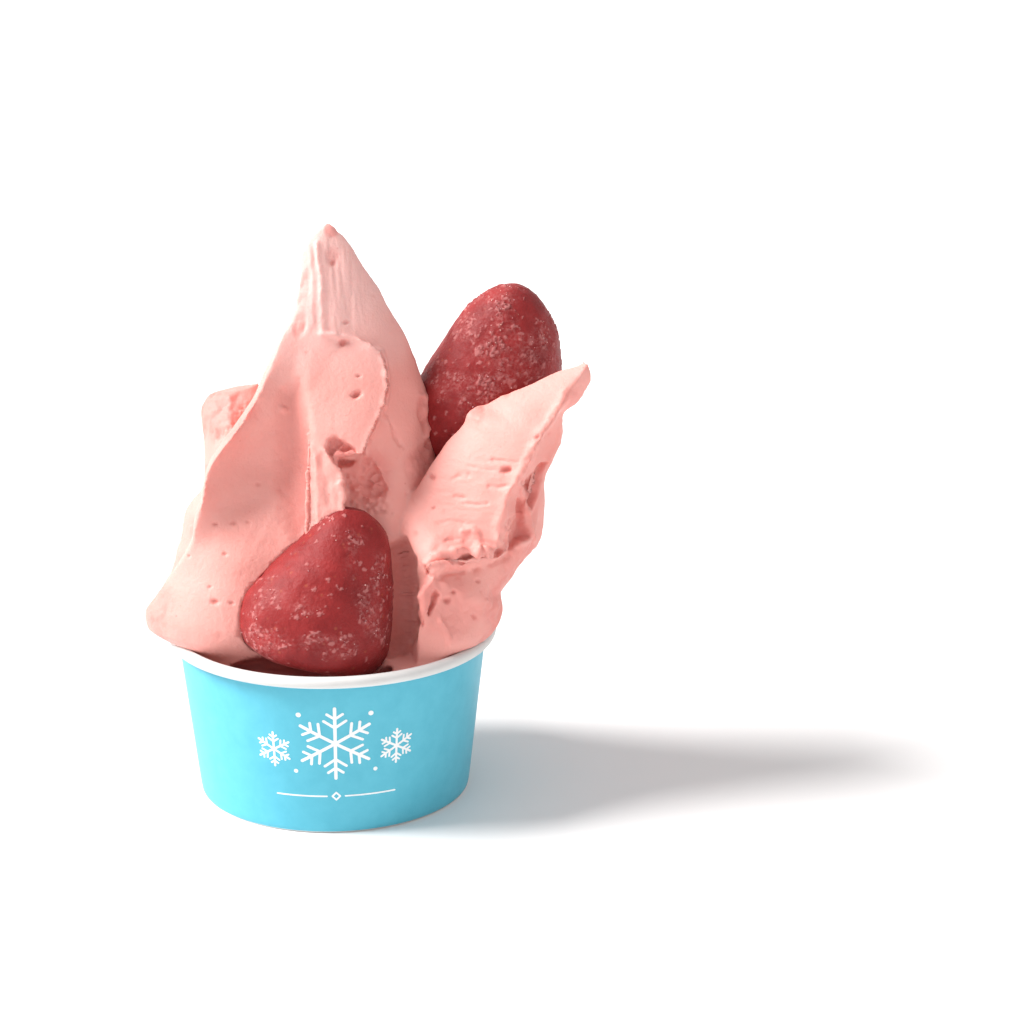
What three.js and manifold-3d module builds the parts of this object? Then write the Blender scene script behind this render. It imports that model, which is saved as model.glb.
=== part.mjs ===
// A paper cup of strawberry sorbet: tall spread peaks with two frozen strawberries, in a printed paper cup.
// Millimetres, +Z up, with the cup's axis as the working axis while the pieces are made. At the end all of it
// is shifted so that the origin is the middle of the whole footprint, on the surface that the cup stands on.
// The front is -Y: one strawberry lies there against the rim, and the other sits high at the back right.
import * as THREE from "three";
import { mergeVertices } from "three/addons/utils/BufferGeometryUtils.js";
import Module from "manifold-3d";

const wasm = await Module();
wasm.setup();

// Driving sizes of the paper cup.
const cup = {
  height: 47.8, // to the top of the rolled rim
  footRadius: 38, // outer radius of the wall at the surface it stands on
  wallRadius: 43, // outer radius of the wall just under the rolled rim
  rollRadius: 1.65, // of the rolled rim's round section
  paper: 0.5, // thickness of the board
  floorHeight: 5, // underside of the recessed floor
  foldHeight: 4.4, // how far the folded foot reaches up behind the floor's skirt
  seamWidth: 7, // where the board's two edges overlap, at the back
  segments: 60,
};
const gap = 0.25; // left between pieces that touch
const tinyEdge = 0.02; // shorter edges than this are closed up

const rollCentreHeight = cup.height - cup.rollRadius;
const wallSlope = (cup.wallRadius - cup.footRadius) / (rollCentreHeight - 2);
const wallOuter = (z) => cup.footRadius + wallSlope * z;
const wallInner = (z) => wallOuter(z) - cup.paper;
const halfPaper = cup.paper / 2;
const rollCentre = wallInner(rollCentreHeight) + cup.rollRadius; // its distance from the cup's axis
const floorTop = cup.floorHeight + cup.paper;

// Closed geometry to solid and back.
function solidOf(geometry) {
  const bare = geometry.clone();
  for (const name of Object.keys(bare.attributes)) {
    if (name !== "position") bare.deleteAttribute(name);
  }
  const merged = mergeVertices(bare, 1e-3);
  const mesh = new wasm.Mesh({
    numProp: 3,
    vertProperties: new Float32Array(merged.attributes.position.array),
    triVerts: new Uint32Array(merged.index.array),
  });
  return new wasm.Manifold(mesh);
}

function geometryOf(solid) {
  const { vertProperties, triVerts, numProp } = solid.getMesh();
  const position = new Float32Array((vertProperties.length / numProp) * 3);
  for (let i = 0; i < position.length / 3; i += 1) {
    position.set(vertProperties.subarray(i * numProp, i * numProp + 3), i * 3);
  }
  const geometry = new THREE.BufferGeometry();
  geometry.setAttribute("position", new THREE.BufferAttribute(position, 3));
  geometry.setIndex(Array.from(triVerts));
  geometry.computeVertexNormals();
  return geometry;
}

// Smooth value of [at, v1, v2, ...] keys, with no overshoot between them.
function keyed(keys, at) {
  const last = keys.length - 1;
  if (at <= keys[0][0]) return keys[0].slice(1);
  if (at >= keys[last][0]) return keys[last].slice(1);
  const k = keys.findIndex((key, i) => i < last && at < keys[i + 1][0]);
  const span = keys[k + 1][0] - keys[k][0];
  const t = (at - keys[k][0]) / span;
  const rise = (i, c) => (keys[i + 1][c] - keys[i][c]) / (keys[i + 1][0] - keys[i][0]);
  const slope = (i, c) => {
    if (i === 0) return rise(0, c);
    if (i === last) return rise(last - 1, c);
    const [a, b] = [rise(i - 1, c), rise(i, c)];
    return a * b <= 0 ? 0 : (2 * a * b) / (a + b);
  };
  return keys[k].slice(1).map((value, index) => {
    const c = index + 1;
    const [m0, m1] = [slope(k, c) * span, slope(k + 1, c) * span];
    const next = keys[k + 1][c];
    return (
      (2 * t ** 3 - 3 * t ** 2 + 1) * value +
      (t ** 3 - 2 * t ** 2 + t) * m0 +
      (3 * t ** 2 - 2 * t ** 3) * next +
      (t ** 3 - t ** 2) * m1
    );
  });
}

// Gentle unevenness from crossed waves, between -1 and 1.
function wobble(p, scale, seed) {
  const [x, y, z] = [p.x / scale, p.y / scale, p.z / scale];
  return (
    (Math.sin(x * 1.7 + y * 0.9 + seed) * Math.cos(z * 1.3 - x * 0.6 + seed * 2) +
      Math.sin(y * 2.1 - z * 1.1 + seed * 3) * Math.cos(x * 1.9 + seed) +
      Math.sin(z * 2.3 + x * 1.2 + seed * 5) * Math.cos(y * 1.4 + seed * 4)) /
    3
  );
}

// Closed skin over a stack of rings: the first ring is capped, and the last is drawn to its middle.
function skin(rings) {
  const count = rings[0].length;
  const points = rings.flat();
  const middle = (ring) =>
    ring.reduce((sum, p) => sum.add(p), new THREE.Vector3()).divideScalar(count);
  const foot = points.push(middle(rings[0])) - 1;
  const head = points.push(middle(rings[rings.length - 1])) - 1;
  const index = [];
  for (let i = 0; i < count; i += 1) {
    const j = (i + 1) % count;
    index.push(foot, j, i);
    for (let r = 0; r < rings.length - 1; r += 1) {
      const [a, b] = [r * count, (r + 1) * count];
      index.push(a + i, a + j, b + j, a + i, b + j, b + i);
    }
    const top = (rings.length - 1) * count;
    index.push(top + i, top + j, head);
  }
  const geometry = new THREE.BufferGeometry();
  const flat = points.flatMap((p) => [p.x, p.y, p.z]);
  geometry.setAttribute("position", new THREE.BufferAttribute(new Float32Array(flat), 3));
  geometry.setIndex(index);
  return geometry;
}

// Axes of a piece that leans from foot to tip: u is to its right, v is away from the front, w is along it.
function leaning(foot, tip) {
  const w = new THREE.Vector3().subVectors(tip, foot).normalize();
  const u = new THREE.Vector3().crossVectors(new THREE.Vector3(0, 1, 0), w).normalize();
  const v = new THREE.Vector3().crossVectors(w, u);
  return new THREE.Matrix4().makeBasis(u, v, w).setPosition(foot);
}

// One spread lump of sorbet. Its ridges run from foot to tip, anticlockwise seen from the tip.
// Each face between two ridges is an arc, crowned or hollow by "bow" parts of its width.
const fine = 24; // samples across a face before it is thinned out
const easing = { passes: 12, pull: 0.5, cornerSamples: 5 }; // how the ridges are rounded between two faces
const roughness = { size: 5, way: new THREE.Vector3(1, -1, 0.6) };
function section(lump, w) {
  const corners = lump.ridges.map((ridge) => keyed(ridge.path, w));
  const points = [];
  const ease = [];
  corners.forEach(([x0, y0], i) => {
    const next = (i + 1) % corners.length;
    const [x1, y1] = corners[next];
    const [bow] = keyed(lump.ridges[i].bow, w);
    for (let s = 0; s < fine; s += 1) {
      const t = s / fine;
      const crown = bow * 4 * t * (1 - t);
      points.push([
        x0 + (x1 - x0) * t + (y1 - y0) * crown,
        y0 + (y1 - y0) * t - (x1 - x0) * crown,
      ]);
      const [here, there] = [lump.ridges[i].sharp, lump.ridges[next].sharp];
      const keep = (away, sharp) => Math.max(1 - (away * fine) / easing.cornerSamples, 0) * sharp;
      ease.push(easing.pull * (1 - keep(t, here) - keep(1 - t, there)));
    }
  });
  let ring = points;
  for (let pass = 0; pass < easing.passes; pass += 1) {
    ring = ring.map(([x, y], i) => {
      const before = ring[(i + ring.length - 1) % ring.length];
      const after = ring[(i + 1) % ring.length];
      return [
        x + ease[i] * ((before[0] + after[0]) / 2 - x),
        y + ease[i] * ((before[1] + after[1]) / 2 - y),
      ];
    });
  }
  return ring;
}

function lumpGeometry(lump) {
  const place = leaning(new THREE.Vector3(...lump.foot), new THREE.Vector3(...lump.tip));
  place.premultiply(new THREE.Matrix4().makeRotationZ(lump.turn ?? 0));
  const from = lump.ridges[0].path[0][0];
  const to = lump.ridges[0].path.at(-1)[0];
  const step = fine / lump.across;
  const rings = [];
  for (let r = 0; r <= lump.rows; r += 1) {
    const share = r / lump.rows;
    const w = from + (to - from) * (1 - (1 - share) ** lump.crowd);
    const ring = section(lump, w).filter((_, i) => i % step === 0);
    rings.push(
      ring.map(([u, v]) => {
        const p = new THREE.Vector3(u, v, w).applyMatrix4(place);
        return p.addScaledVector(roughness.way, lump.rough * wobble(p, roughness.size, lump.seed));
      }),
    );
  }
  return skin(rings);
}

const ridge = (path, bow, sharp = 0.6) => ({
  path,
  bow: typeof bow === "number" ? [[path[0][0], bow]] : bow,
  sharp,
});

// The tall flame on the left: its front left is one long hollow sweep of the spatula.
const flame = {
  foot: [0, 0, 0],
  tip: [0, 0, 160],
  rows: 40,
  across: 3,
  crowd: 1,
  rough: 0.3,
  seed: 1.3,
  ridges: [
    ridge([[20, 30, -4], [60, 32, -2], [80, 31.5, 2], [98.8, 29.5, 4], [114.4, 27, 5], [124.5, 23.6, 6],
      [138.3, 16.6, 6.5], [146, 11.6, 7], [152, 8.4, 8], [157, 4.6, 8], [160, 1.8, 8]], 0.14, 0.8),
    ridge([[20, 24, 24], [48, 24, 25], [60, 22, 26], [80, 20, 25], [100, 17, 22.5], [120, 12, 19],
      [138, 6.5, 14.5], [152, 3, 11], [160, 1.2, 8.3]], [[20, 0.1], [60, 0], [90, -0.12]], 0.9),
    ridge([[20, -6, 34], [48, -6, 34], [60, -7, 31], [80, -8, 26], [100, -8, 22], [120, -6, 17.5],
      [138, -3, 13.5], [152, -2, 11], [160, 0.9, 8.3]], [[20, 0.14], [60, 0.04], [90, -0.08]], 0.8),
    ridge([[20, -28, 24], [48, -33, 24], [60, -32, 22], [80, -27, 17], [100, -20, 13], [120, -12, 10],
      [138, -6, 8], [160, 0.6, 8.2]], 0.1, 0.3),
    ridge([[20, -34, -4], [43, -39.5, -8], [46, -42.5, -9], [48.5, -48, -10], [51, -51, -11],
      [55.4, -51.5, -12], [61.2, -48.3, -13], [69, -42.2, -14.5], [76.2, -38, -16],
      [84.3, -35.8, -18], [91, -34, -19], [98.5, -32, -18.5], [108.2, -24.4, -15], [117.3, -18.2, -9.5],
      [126, -14.2, -4.5], [131, -12, -2.5], [134.8, -9.6, 0], [145.4, -7.1, 4.2], [152, -6.4, 6],
      [156, -4, 7], [160, 0.7, 8]],
      [[20, 0.16], [60, 0.16], [72, 0.13], [80, 0.02], [88, -0.12], [100, -0.16], [112, -0.12],
      [124, 0]], 1),
    ridge([[20, -18, -26], [48, -20, -28], [54, -20, -28.5], [60, -18.5, -27], [68, -18, -24],
      [76, -15.5, -21], [84, -13.8, -17], [90, -13, -13], [97, -12, -9.6], [112, -10.5, -7.4],
      [122, -9, -5.4], [132, -6.5, -3], [145, -4.5, 1.6], [152, -3.8, 4.5], [160, 0.75, 7.9]], 0, 0.1),
    ridge([[20, -6, -34], [48, -6, -34], [60, -5, -28], [70, -4, -24], [84, -3.5, -19.5], [97, -3.9, -14.5],
      [112, -5, -10], [122, -5, -6.5], [132, -2.5, -3.4], [145, -1.5, 1], [152, -1.5, 4],
      [160, 0.8, 7.8]], [[20, 0.1], [60, -0.02], [84, -0.13], [98, -0.12], [106, 0.05]], 0.8),
    ridge([[20, 14, -30], [60, 14.5, -24], [72, 15, -19.5], [84, 15, -15], [98, 15, -9.6], [114, 13, -6.5],
      [124, 11, -4], [138, 6, 0], [152, 3, 5], [160, 1.2, 7.8]], 0.13, 0.3),
  ],
};

// The torn lump behind the flame's left lip, backlit and ragged along its slanting top.
const ruffle = {
  foot: [-22, 9, 28],
  tip: [-39, 10, 106],
  rows: 24,
  across: 4,
  crowd: 1.1,
  rough: 0.8,
  seed: 4.1,
  ridges: [
    ridge([[0, 14, 0], [60, 15, 2], [76, 20, 2], [80, 22, 3], [83.3, 21.5, 4]], 0.1),
    ridge([[0, 2, 16], [30, 2, 17], [60, 3, 12], [74, 6, 9], [79, 8, 8], [83.3, 11, 7]], 0.12),
    ridge([[0, -14, 0], [14, -17, -2], [26, -18.5, -2], [36, -16.8, -2], [42.4, -13.1, -1],
      [45.3, -10.3, -0.5], [52, -7.8, 0], [55, -5, 0], [58, -1.8, 0], [61, -0.6, 0.5], [67.6, 1.7, 1],
      [74.4, 2.8, 1], [80, 3.8, 1.5], [82, 5, 2], [83.3, 7.5, 3.5]], 0.08, 0.8),
    ridge([[0, -2, -12], [30, -1, -13], [60, 6, -11], [76, 11, -9], [80, 12, -6], [83.3, 13, -1.5]],
      0.05, 0.7),
  ],
};

// The thin fold that lies on the flame's face, with its curled edge to the right.
const fold = {
  foot: [0, -20, 84],
  tip: [4.5, -2, 128],
  rows: 22,
  across: 3,
  crowd: 1.2,
  rough: 0.15,
  seed: 2.2,
  ridges: [
    ridge([[-10, 3.2, -2.4], [2.5, 3.2, -3], [8, 2.8, -3], [13.8, 1.2, -3], [16, 0.4, -3], [18.1, 7.2, -3.4],
      [20.4, 7.9, -3.4], [24.2, 9.3, -3.4], [28.4, 10.9, -3.2], [32.4, 12.4, -3], [36.5, 12.8, -2.6],
      [41.4, 12.2, -2.2], [46.2, 10.2, -1.9], [47.8, 6.6, -1.7], [49, 3.2, -1.6], [49.8, 0.2, -1.5]],
      0.12, 1),
    ridge([[-10, 0, 4], [49.8, -2, 4]], 0),
    ridge([[-10, -7, -1], [0, -7.6, -1.4], [20, -8.6, -1.2], [38, -9.6, -0.8], [46, -9, -0.6],
      [49.8, -5, -0.6]], 0.05, 0.1),
  ],
};

// The tongue that leans out to the right, smooth on its upper left face.
const petal = {
  foot: [22, -20, 46],
  tip: [70, -8, 119],
  rows: 32,
  across: 4,
  crowd: 1.25,
  rough: 0.3,
  seed: 3.7,
  ridges: [
    ridge([[-14, -5, -2], [8, -4, -3], [20, -7, -2], [26, -2.5, -2], [33, 4, -2], [40, 9, -1], [45, 12, 0],
      [52, 9, 1], [60, 5.4, 1], [71, 4, 1], [77, 0.6, 0], [82, 2.4, -1], [88, 2, -1], [91, 0, -1.4],
      [92, -1.6, -1.5]], 0.14, 0.8),
    ridge([[-14, -6, 12], [24, -8, 13], [45, -7, 13], [60, -9, 11], [75, -9, 7], [85, -6, 3], [90, -4, 1],
      [92, -3.6, -0.6]], 0.12, 0.3),
    ridge([[-14, 0, 5], [10, -10, 5], [20, -17.5, 5], [24.6, -21.8, 5], [31.1, -23.3, 5],
      [44, -23.2, 5], [53, -22.8, 5], [60, -21.4, 5], [62.5, -22, 5], [66, -20.4, 5], [67.5, -18.6, 4.6],
      [71, -17, 4], [77, -13, 3], [87, -6.2, 1.5], [90.5, -3.2, 0], [92, -2, -1]], 0.07, 0.8),
    ridge([[-14, 5, -6], [8, -3, -8], [18, -8, -9], [24, -12, -9.6], [30, -8, -10.5], [36, 2, -10.5],
      [39, 3, -10.5], [45.3, 0.3, -10.5], [50, -1.9, -10.4], [58, -2.2, -10], [63.4, -3, -9.4],
      [68.6, -3.4, -8.6], [75, -2.8, -7], [82.5, -3, -4.6], [88, -2.2, -3], [92, -2, -1.6]],
      [[-14, 0.05], [30, -0.02], [42, -0.16], [66, -0.2], [80, 0]], 1),
  ],
};

// The thin torn fold down the tongue's right side.
const hem = {
  foot: [44, -10, 62],
  tip: [62, -6, 106],
  rows: 14,
  across: 3,
  crowd: 1.2,
  rough: 0.4,
  seed: 8.4,
  ridges: [
    ridge([[-4, 3, 0], [4, 5.4, 0], [10, 7.2, 0], [14.5, 8.8, 0], [18.3, 8.3, 0], [24, 6.6, 0],
      [28.1, 4.9, 0], [33.3, 3.4, 0], [40.6, 3.6, 0], [43.4, 3.8, 0], [49.7, 1.6, -0.6],
      [51, 0, -1]], 0.1, 0.9),
    ridge([[-4, -6, 7], [20, -6, 8], [44, -4, 4], [51, -2, 0]], 0.1, 0.3),
    ridge([[-4, -2, -8], [20, 0, -7.5], [38, 0, -5], [51, -2, -2]], 0.06, 0.9),
  ],
};

// The rough shoulder that carries the tongue and swells over the rim at the right.
const shoulder = {
  foot: [22, -20, 46],
  tip: [70, -8, 119],
  rows: 20,
  across: 4,
  crowd: 1.2,
  rough: 0.7,
  seed: 5.9,
  ridges: [
    ridge([[-14, 12, 0], [0, 11, 0], [5, 12.8, 0], [10, 15.2, 0], [15.3, 16.5, 0], [21.5, 15.4, 0],
      [25, 12.8, 0], [27.5, 11.6, 0], [30.1, 11.6, 0], [34.3, 12.4, 0], [38.3, 12.6, 0.6],
      [43, 12.2, 1], [50, 9, 2], [56, 4, 3]], 0.1, 0.7),
    ridge([[-14, 14, 26], [24, 5, 24], [44, 2, 16], [56, 1, 8]], 0.12, 0.3),
    ridge([[-14, 2, 4], [2, -7, 4], [12, -13, 4], [24, -17, 4], [44, -12, 5], [56, -3, 3]], -0.05, 0.3),
    ridge([[-14, 7, -12], [2.3, -1.6, -13], [6.8, -4.8, -13], [10.3, -6, -13], [13, -8.2, -12.6],
      [16, -8.8, -12.4], [21, -8.6, -11.4], [24, -11, -9], [34, -8, -6], [56, 0, 0]], 0.04, 0.9),
    ridge([[-14, 11, -9], [8, 5, -12], [20, 3, -11], [30, 3, -7], [40, 3, -5], [56, 1, 0]], 0.1, 0.2),
  ],
};

// The bed of sorbet that the high strawberry sits in, behind the tongue.
const bed = {
  foot: [0, 0, 0],
  tip: [0, 0, 98],
  rows: 18,
  across: 4,
  crowd: 1.3,
  rough: 0.9,
  seed: 7.7,
  ridges: [
    ridge([[20, 34, 0], [43, 39, 4], [47, 43, 4], [52, 46, 5], [60, 46, 8], [80, 51, 12], [92, 52, 14],
      [98, 46, 16]], 0.12, 0.6),
    ridge([[20, 18, 30], [43, 20, 33], [48, 22, 35], [60, 24, 36], [80, 29, 34], [92, 34, 32],
      [98, 36, 27]], -0.05, 0.8),
    ridge([[20, -8, 20], [60, -2, 30], [80, 8, 28], [92, 18, 24], [98, 26, 21]], 0.05, 0.4),
    ridge([[20, 12, -10], [60, 18, -6], [80, 24, 2], [92, 27, 6], [98, 31, 11]], 0.08, 0.3),
  ],
};

// Broad strokes drawn up the back: each is hollow between its two lips, and leans in from reach to top.
const backStroke = ({ turn, reach, top, height, width, lean, seed }) => {
  const along = (keys) => keys.map(([w, u, v]) => [w * height, u * width, v]);
  return {
    turn: THREE.MathUtils.degToRad(turn),
    foot: [0, -reach, 40],
    tip: [lean, -top, 40 + height],
    rows: 16,
    across: 4,
    crowd: 1.2,
    rough: 0.6,
    seed,
    ridges: [
      ridge(along([[-0.1, 0.8, 4], [0.06, 1, -1], [0.14, 1.12, -3], [0.3, 1, -3], [0.62, 0.66, -2],
        [0.85, 0.36, 0], [0.96, 0.16, 1], [1, 0.05, 1.5]]), 0.08, 0.8),
      ridge(along([[-0.1, 0.1, 16], [0.5, 0.1, 15], [0.9, 0, 6], [1, 0, 2.5]]), 0.08, 0.3),
      ridge(along([[-0.1, -0.8, 3], [0.08, -0.96, -2], [0.18, -1.08, -4], [0.36, -0.86, -3], [0.6, -0.66, -3],
        [0.8, -0.34, -1], [0.94, -0.14, 0], [1, -0.04, 1]]), [[0, 0.02], [14, -0.1], [height, -0.1]], 1),
    ],
  };
};
const backStrokes = [
  { turn: 112, reach: 34, top: 36, height: 50, width: 18, lean: 2, seed: 8.1 },
  { turn: 155, reach: 32, top: 22, height: 60, width: 18, lean: 3, seed: 9.2 },
  { turn: 196, reach: 32, top: 17, height: 76, width: 19, lean: -2, seed: 10.6 },
  { turn: 232, reach: 31, top: 24, height: 46, width: 16, lean: -3, seed: 12.1 },
].map(backStroke);

// A frozen strawberry, hulled, with its broad end down: rounded shoulders and a blunt tip.
const berryDents = { lobes: 3, lobeDepth: 0.015, unevenness: 0.015, size: 4 };
const berryMiddle = 0.45; // part of the length from which a strawberry grows outwards
function berryGeometry(berry, grow) {
  const { length, turns, rows, segments } = berry;
  const place = leaning(new THREE.Vector3(...berry.foot), new THREE.Vector3(...berry.tip));
  const rings = [];
  for (let r = 1; r < rows; r += 1) {
    const angle = (Math.PI * r) / rows;
    const along = (1 - Math.cos(angle)) / 2;
    const [left, right] = keyed(berry.outline, along);
    const ring = [];
    for (let s = 0; s < segments; s += 1) {
      const turn = (2 * Math.PI * s) / segments;
      const side = Math.cos(turn) > 0 ? right : left;
      const depth = ((left + right) / 2) * berry.depth;
      const reach = new THREE.Vector3(Math.cos(turn) * side, Math.sin(turn) * depth, along * length);
      const lobes = berryDents.lobeDepth * Math.sin(berryDents.lobes * turn + turns);
      const bump = 1 + lobes + berryDents.unevenness * wobble(reach, berryDents.size, turns);
      const p = new THREE.Vector3(reach.x * bump, reach.y * bump, reach.z);
      const out = new THREE.Vector3(reach.x, reach.y, (along - berryMiddle) * length).normalize();
      ring.push(p.addScaledVector(out, grow).applyMatrix4(place));
    }
    rings.push(ring);
  }
  return skin(rings);
}

const frontBerry = {
  foot: [-3.8, -25.4, 45],
  tip: [5.4, -20, 88],
  length: 43,
  depth: 0.84,
  turns: 0.8,
  rows: 20,
  segments: 28,
  outline: [[0, 16, 13], [0.02, 19.5, 15.2], [0.08, 22.4, 17], [0.17, 23.8, 17.5], [0.25, 24.4, 17.3],
    [0.34, 23.8, 16.8], [0.44, 21.6, 16.1], [0.556, 18.3, 15.3], [0.656, 15, 14.4], [0.75, 11.8, 13.3],
    [0.88, 8, 10.9], [0.95, 5, 8], [1, 2, 4.2]],
};
const backBerry = {
  foot: [36.5, 13.5, 89],
  tip: [54.5, 14, 140],
  length: 54,
  depth: 0.9,
  turns: 2.6,
  rows: 20,
  segments: 28,
  outline: [[0, 9, 8], [0.03, 13, 13], [0.12, 17, 18], [0.3, 19, 21], [0.45, 18, 20.8], [0.65, 15.2, 18.4],
    [0.8, 12.8, 14.6], [0.88, 10.6, 11.4], [0.93, 8.4, 8.6], [0.98, 4.6, 4.6], [1, 2, 2]],
};

// Paper wall: one board folded in at the foot and rolled outwards at the rim.
function wallGeometry() {
  const foldRadius = cup.footRadius - 2 * (cup.paper + gap) - halfPaper;
  const points = [
    new THREE.Vector2(foldRadius, cup.foldHeight),
    new THREE.Vector2(foldRadius, halfPaper),
    new THREE.Vector2(cup.footRadius - halfPaper, halfPaper),
  ];
  const rollSteps = 7;
  for (let i = 0; i <= rollSteps; i += 1) {
    const angle = Math.PI * (1 - (1.5 * i) / rollSteps); // three quarters of a turn, outwards and under
    const spoke = new THREE.Vector2(Math.cos(angle), Math.sin(angle));
    spoke.multiplyScalar(cup.rollRadius - halfPaper);
    points.push(spoke.add(new THREE.Vector2(rollCentre, rollCentreHeight)));
  }
  const direction = (i) => points[i + 1].clone().sub(points[i]).normalize();
  const offset = (side) =>
    points.map((point, i) => {
      const before = direction(Math.max(i - 1, 0));
      const after = direction(Math.min(i, points.length - 2));
      const along = before.clone().add(after).normalize();
      const reach = (halfPaper * side) / along.dot(after);
      return new THREE.Vector2(point.x - along.y * reach, point.y + along.x * reach);
    });
  const profile = [...offset(-1), ...offset(1).reverse()];
  profile.push(profile[0].clone());
  return new THREE.LatheGeometry(profile, cup.segments).rotateX(Math.PI / 2);
}

// The overlap of the board's two edges, a strip down the back of the wall from foot to roll.
function seamGeometry() {
  const steps = 4;
  const ends = [1, rollCentreHeight - cup.rollRadius];
  const rings = ends.map((z) => {
    const row = (radius) => {
      const points = [];
      for (let s = 0; s <= steps; s += 1) {
        const turn = Math.PI / 2 + (s / steps - 0.5) * (cup.seamWidth / wallOuter(z));
        points.push(new THREE.Vector3(radius * Math.cos(turn), radius * Math.sin(turn), z));
      }
      return points;
    };
    return [...row(wallOuter(z) + halfPaper), ...row(wallOuter(z) - halfPaper).reverse()];
  });
  return skin(rings);
}

// All that the sorbet stays clear of: the wall, its rolled rim, and the space around the cup below the rim.
function cupEnvelope() {
  const around = 70;
  const below = -1;
  const clear = cup.rollRadius + gap;
  const arcSteps = 9;
  const outline = [
    new THREE.Vector2(wallInner(0) - gap, below),
    new THREE.Vector2(around, below),
    new THREE.Vector2(around, rollCentreHeight - clear),
  ];
  for (let i = 0; i <= arcSteps; i += 1) {
    const angle = Math.PI * ((1.5 * i) / arcSteps - 0.5);
    const spoke = new THREE.Vector2(Math.cos(angle), Math.sin(angle)).multiplyScalar(clear);
    outline.push(spoke.add(new THREE.Vector2(rollCentre, rollCentreHeight)));
  }
  outline.push(outline[0].clone());
  return new THREE.LatheGeometry(outline, cup.segments).rotateX(Math.PI / 2);
}

// The fill inside the cup, up to the rim all round but for the hollow under the low strawberry.
const fill = {
  bottom: floorTop + gap,
  straight: 28, // height up to which it simply follows the wall
  brim: 46.4,
  dome: 3.5,
  crown: [[0.8, 0.2], [0.45, 1]], // parts of the radius, and how much of the dome's rise they have
  dip: 9.5,
  dipTowards: new THREE.Vector3(-0.3, -1, 0).normalize(),
  dipEdges: [0.72, 0.9], // cosines of the turn at which the dip begins and is full
  unevenness: 0.7,
  unevenSize: 0.2,
  seed: 2,
};
function fillGeometry() {
  const ring = (spread, heightAt) => {
    const points = [];
    for (let s = 0; s < cup.segments; s += 1) {
      const turn = (2 * Math.PI * s) / cup.segments;
      const out = new THREE.Vector3(Math.cos(turn), Math.sin(turn), 0);
      const height = heightAt(out);
      points.push(out.multiplyScalar(spread * (wallInner(height) - gap)).setZ(height));
    }
    return points;
  };
  const brimAt = (rise) => (out) => {
    const hollow = fill.dip * THREE.MathUtils.smoothstep(out.dot(fill.dipTowards), ...fill.dipEdges);
    return fill.brim + rise * fill.dome - hollow + fill.unevenness * wobble(out, fill.unevenSize, fill.seed);
  };
  const bottom = ring(1, () => fill.bottom);
  const straight = ring(1, () => fill.straight);
  const crown = fill.crown.map(([spread, rise]) => ring(spread, brimAt(rise)));
  return skin([bottom, straight, ring(1, brimAt(0)), ...crown]);
}

const sorbetLumps = [flame, ruffle, fold, petal, hem, shoulder, bed, ...backStrokes];

function sorbetSolid() {
  const lumps = sorbetLumps.map((lump) => solidOf(lumpGeometry(lump)));
  const mass = lumps.reduce((sum, lump) => sum.add(lump), solidOf(fillGeometry()));
  const depth = 40;
  const floorCut = new THREE.CylinderGeometry(2 * cup.wallRadius, 2 * cup.wallRadius, depth, 32)
    .rotateX(Math.PI / 2)
    .translate(0, 0, fill.bottom - depth / 2);
  const cut = mass
    .subtract(solidOf(cupEnvelope()))
    .subtract(solidOf(floorCut))
    .subtract(solidOf(berryGeometry(frontBerry, gap)))
    .subtract(solidOf(berryGeometry(backBerry, gap)));
  const pieces = cut.decompose().sort((a, b) => b.volume() - a.volume());
  return pieces[0].simplify(tinyEdge);
}

// The raised floor, with a skirt that stands in the folded foot.
function floorGeometry() {
  const skirtBottom = cup.paper + gap;
  const skirtOuter = cup.footRadius - cup.paper - gap;
  const lathe = [
    [0, cup.floorHeight],
    [skirtOuter - cup.paper, cup.floorHeight],
    [skirtOuter - cup.paper, skirtBottom],
    [skirtOuter, skirtBottom],
    [skirtOuter, floorTop],
    [0, floorTop],
  ].map(([r, h]) => new THREE.Vector2(r, h));
  return new THREE.LatheGeometry(lathe, cup.segments).rotateX(Math.PI / 2);
}

const looks = {
  paperBlue: { color: 0x6fd3ee, roughness: 0.45, metalness: 0 },
  paperWhite: { color: 0xf4f1ec, roughness: 0.6, metalness: 0 },
  sorbetPink: { color: 0xf3b0a6, roughness: 0.6, metalness: 0 },
  berryRed: { color: 0xa83a3c, roughness: 0.5, metalness: 0 },
};

function named(name, geometry, look) {
  const mesh = new THREE.Mesh(geometry, new THREE.MeshStandardMaterial(look));
  mesh.name = name;
  return mesh;
}

const sorbetCup = new THREE.Group();
sorbetCup.add(
  named("cup_wall", geometryOf(solidOf(wallGeometry()).add(solidOf(seamGeometry()))), looks.paperBlue),
  named("cup_floor", floorGeometry(), looks.paperWhite),
  named("sorbet", geometryOf(sorbetSolid()), looks.sorbetPink),
  named("strawberry_front", berryGeometry(frontBerry, 0), looks.berryRed),
  named("strawberry_back", berryGeometry(backBerry, 0), looks.berryRed),
);

// The whole footprint's middle becomes the origin.
const footprint = new THREE.Box3().setFromObject(sorbetCup).getCenter(new THREE.Vector3());
sorbetCup.position.set(-footprint.x, -footprint.y, 0);

export default sorbetCup;
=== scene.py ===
import math

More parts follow.
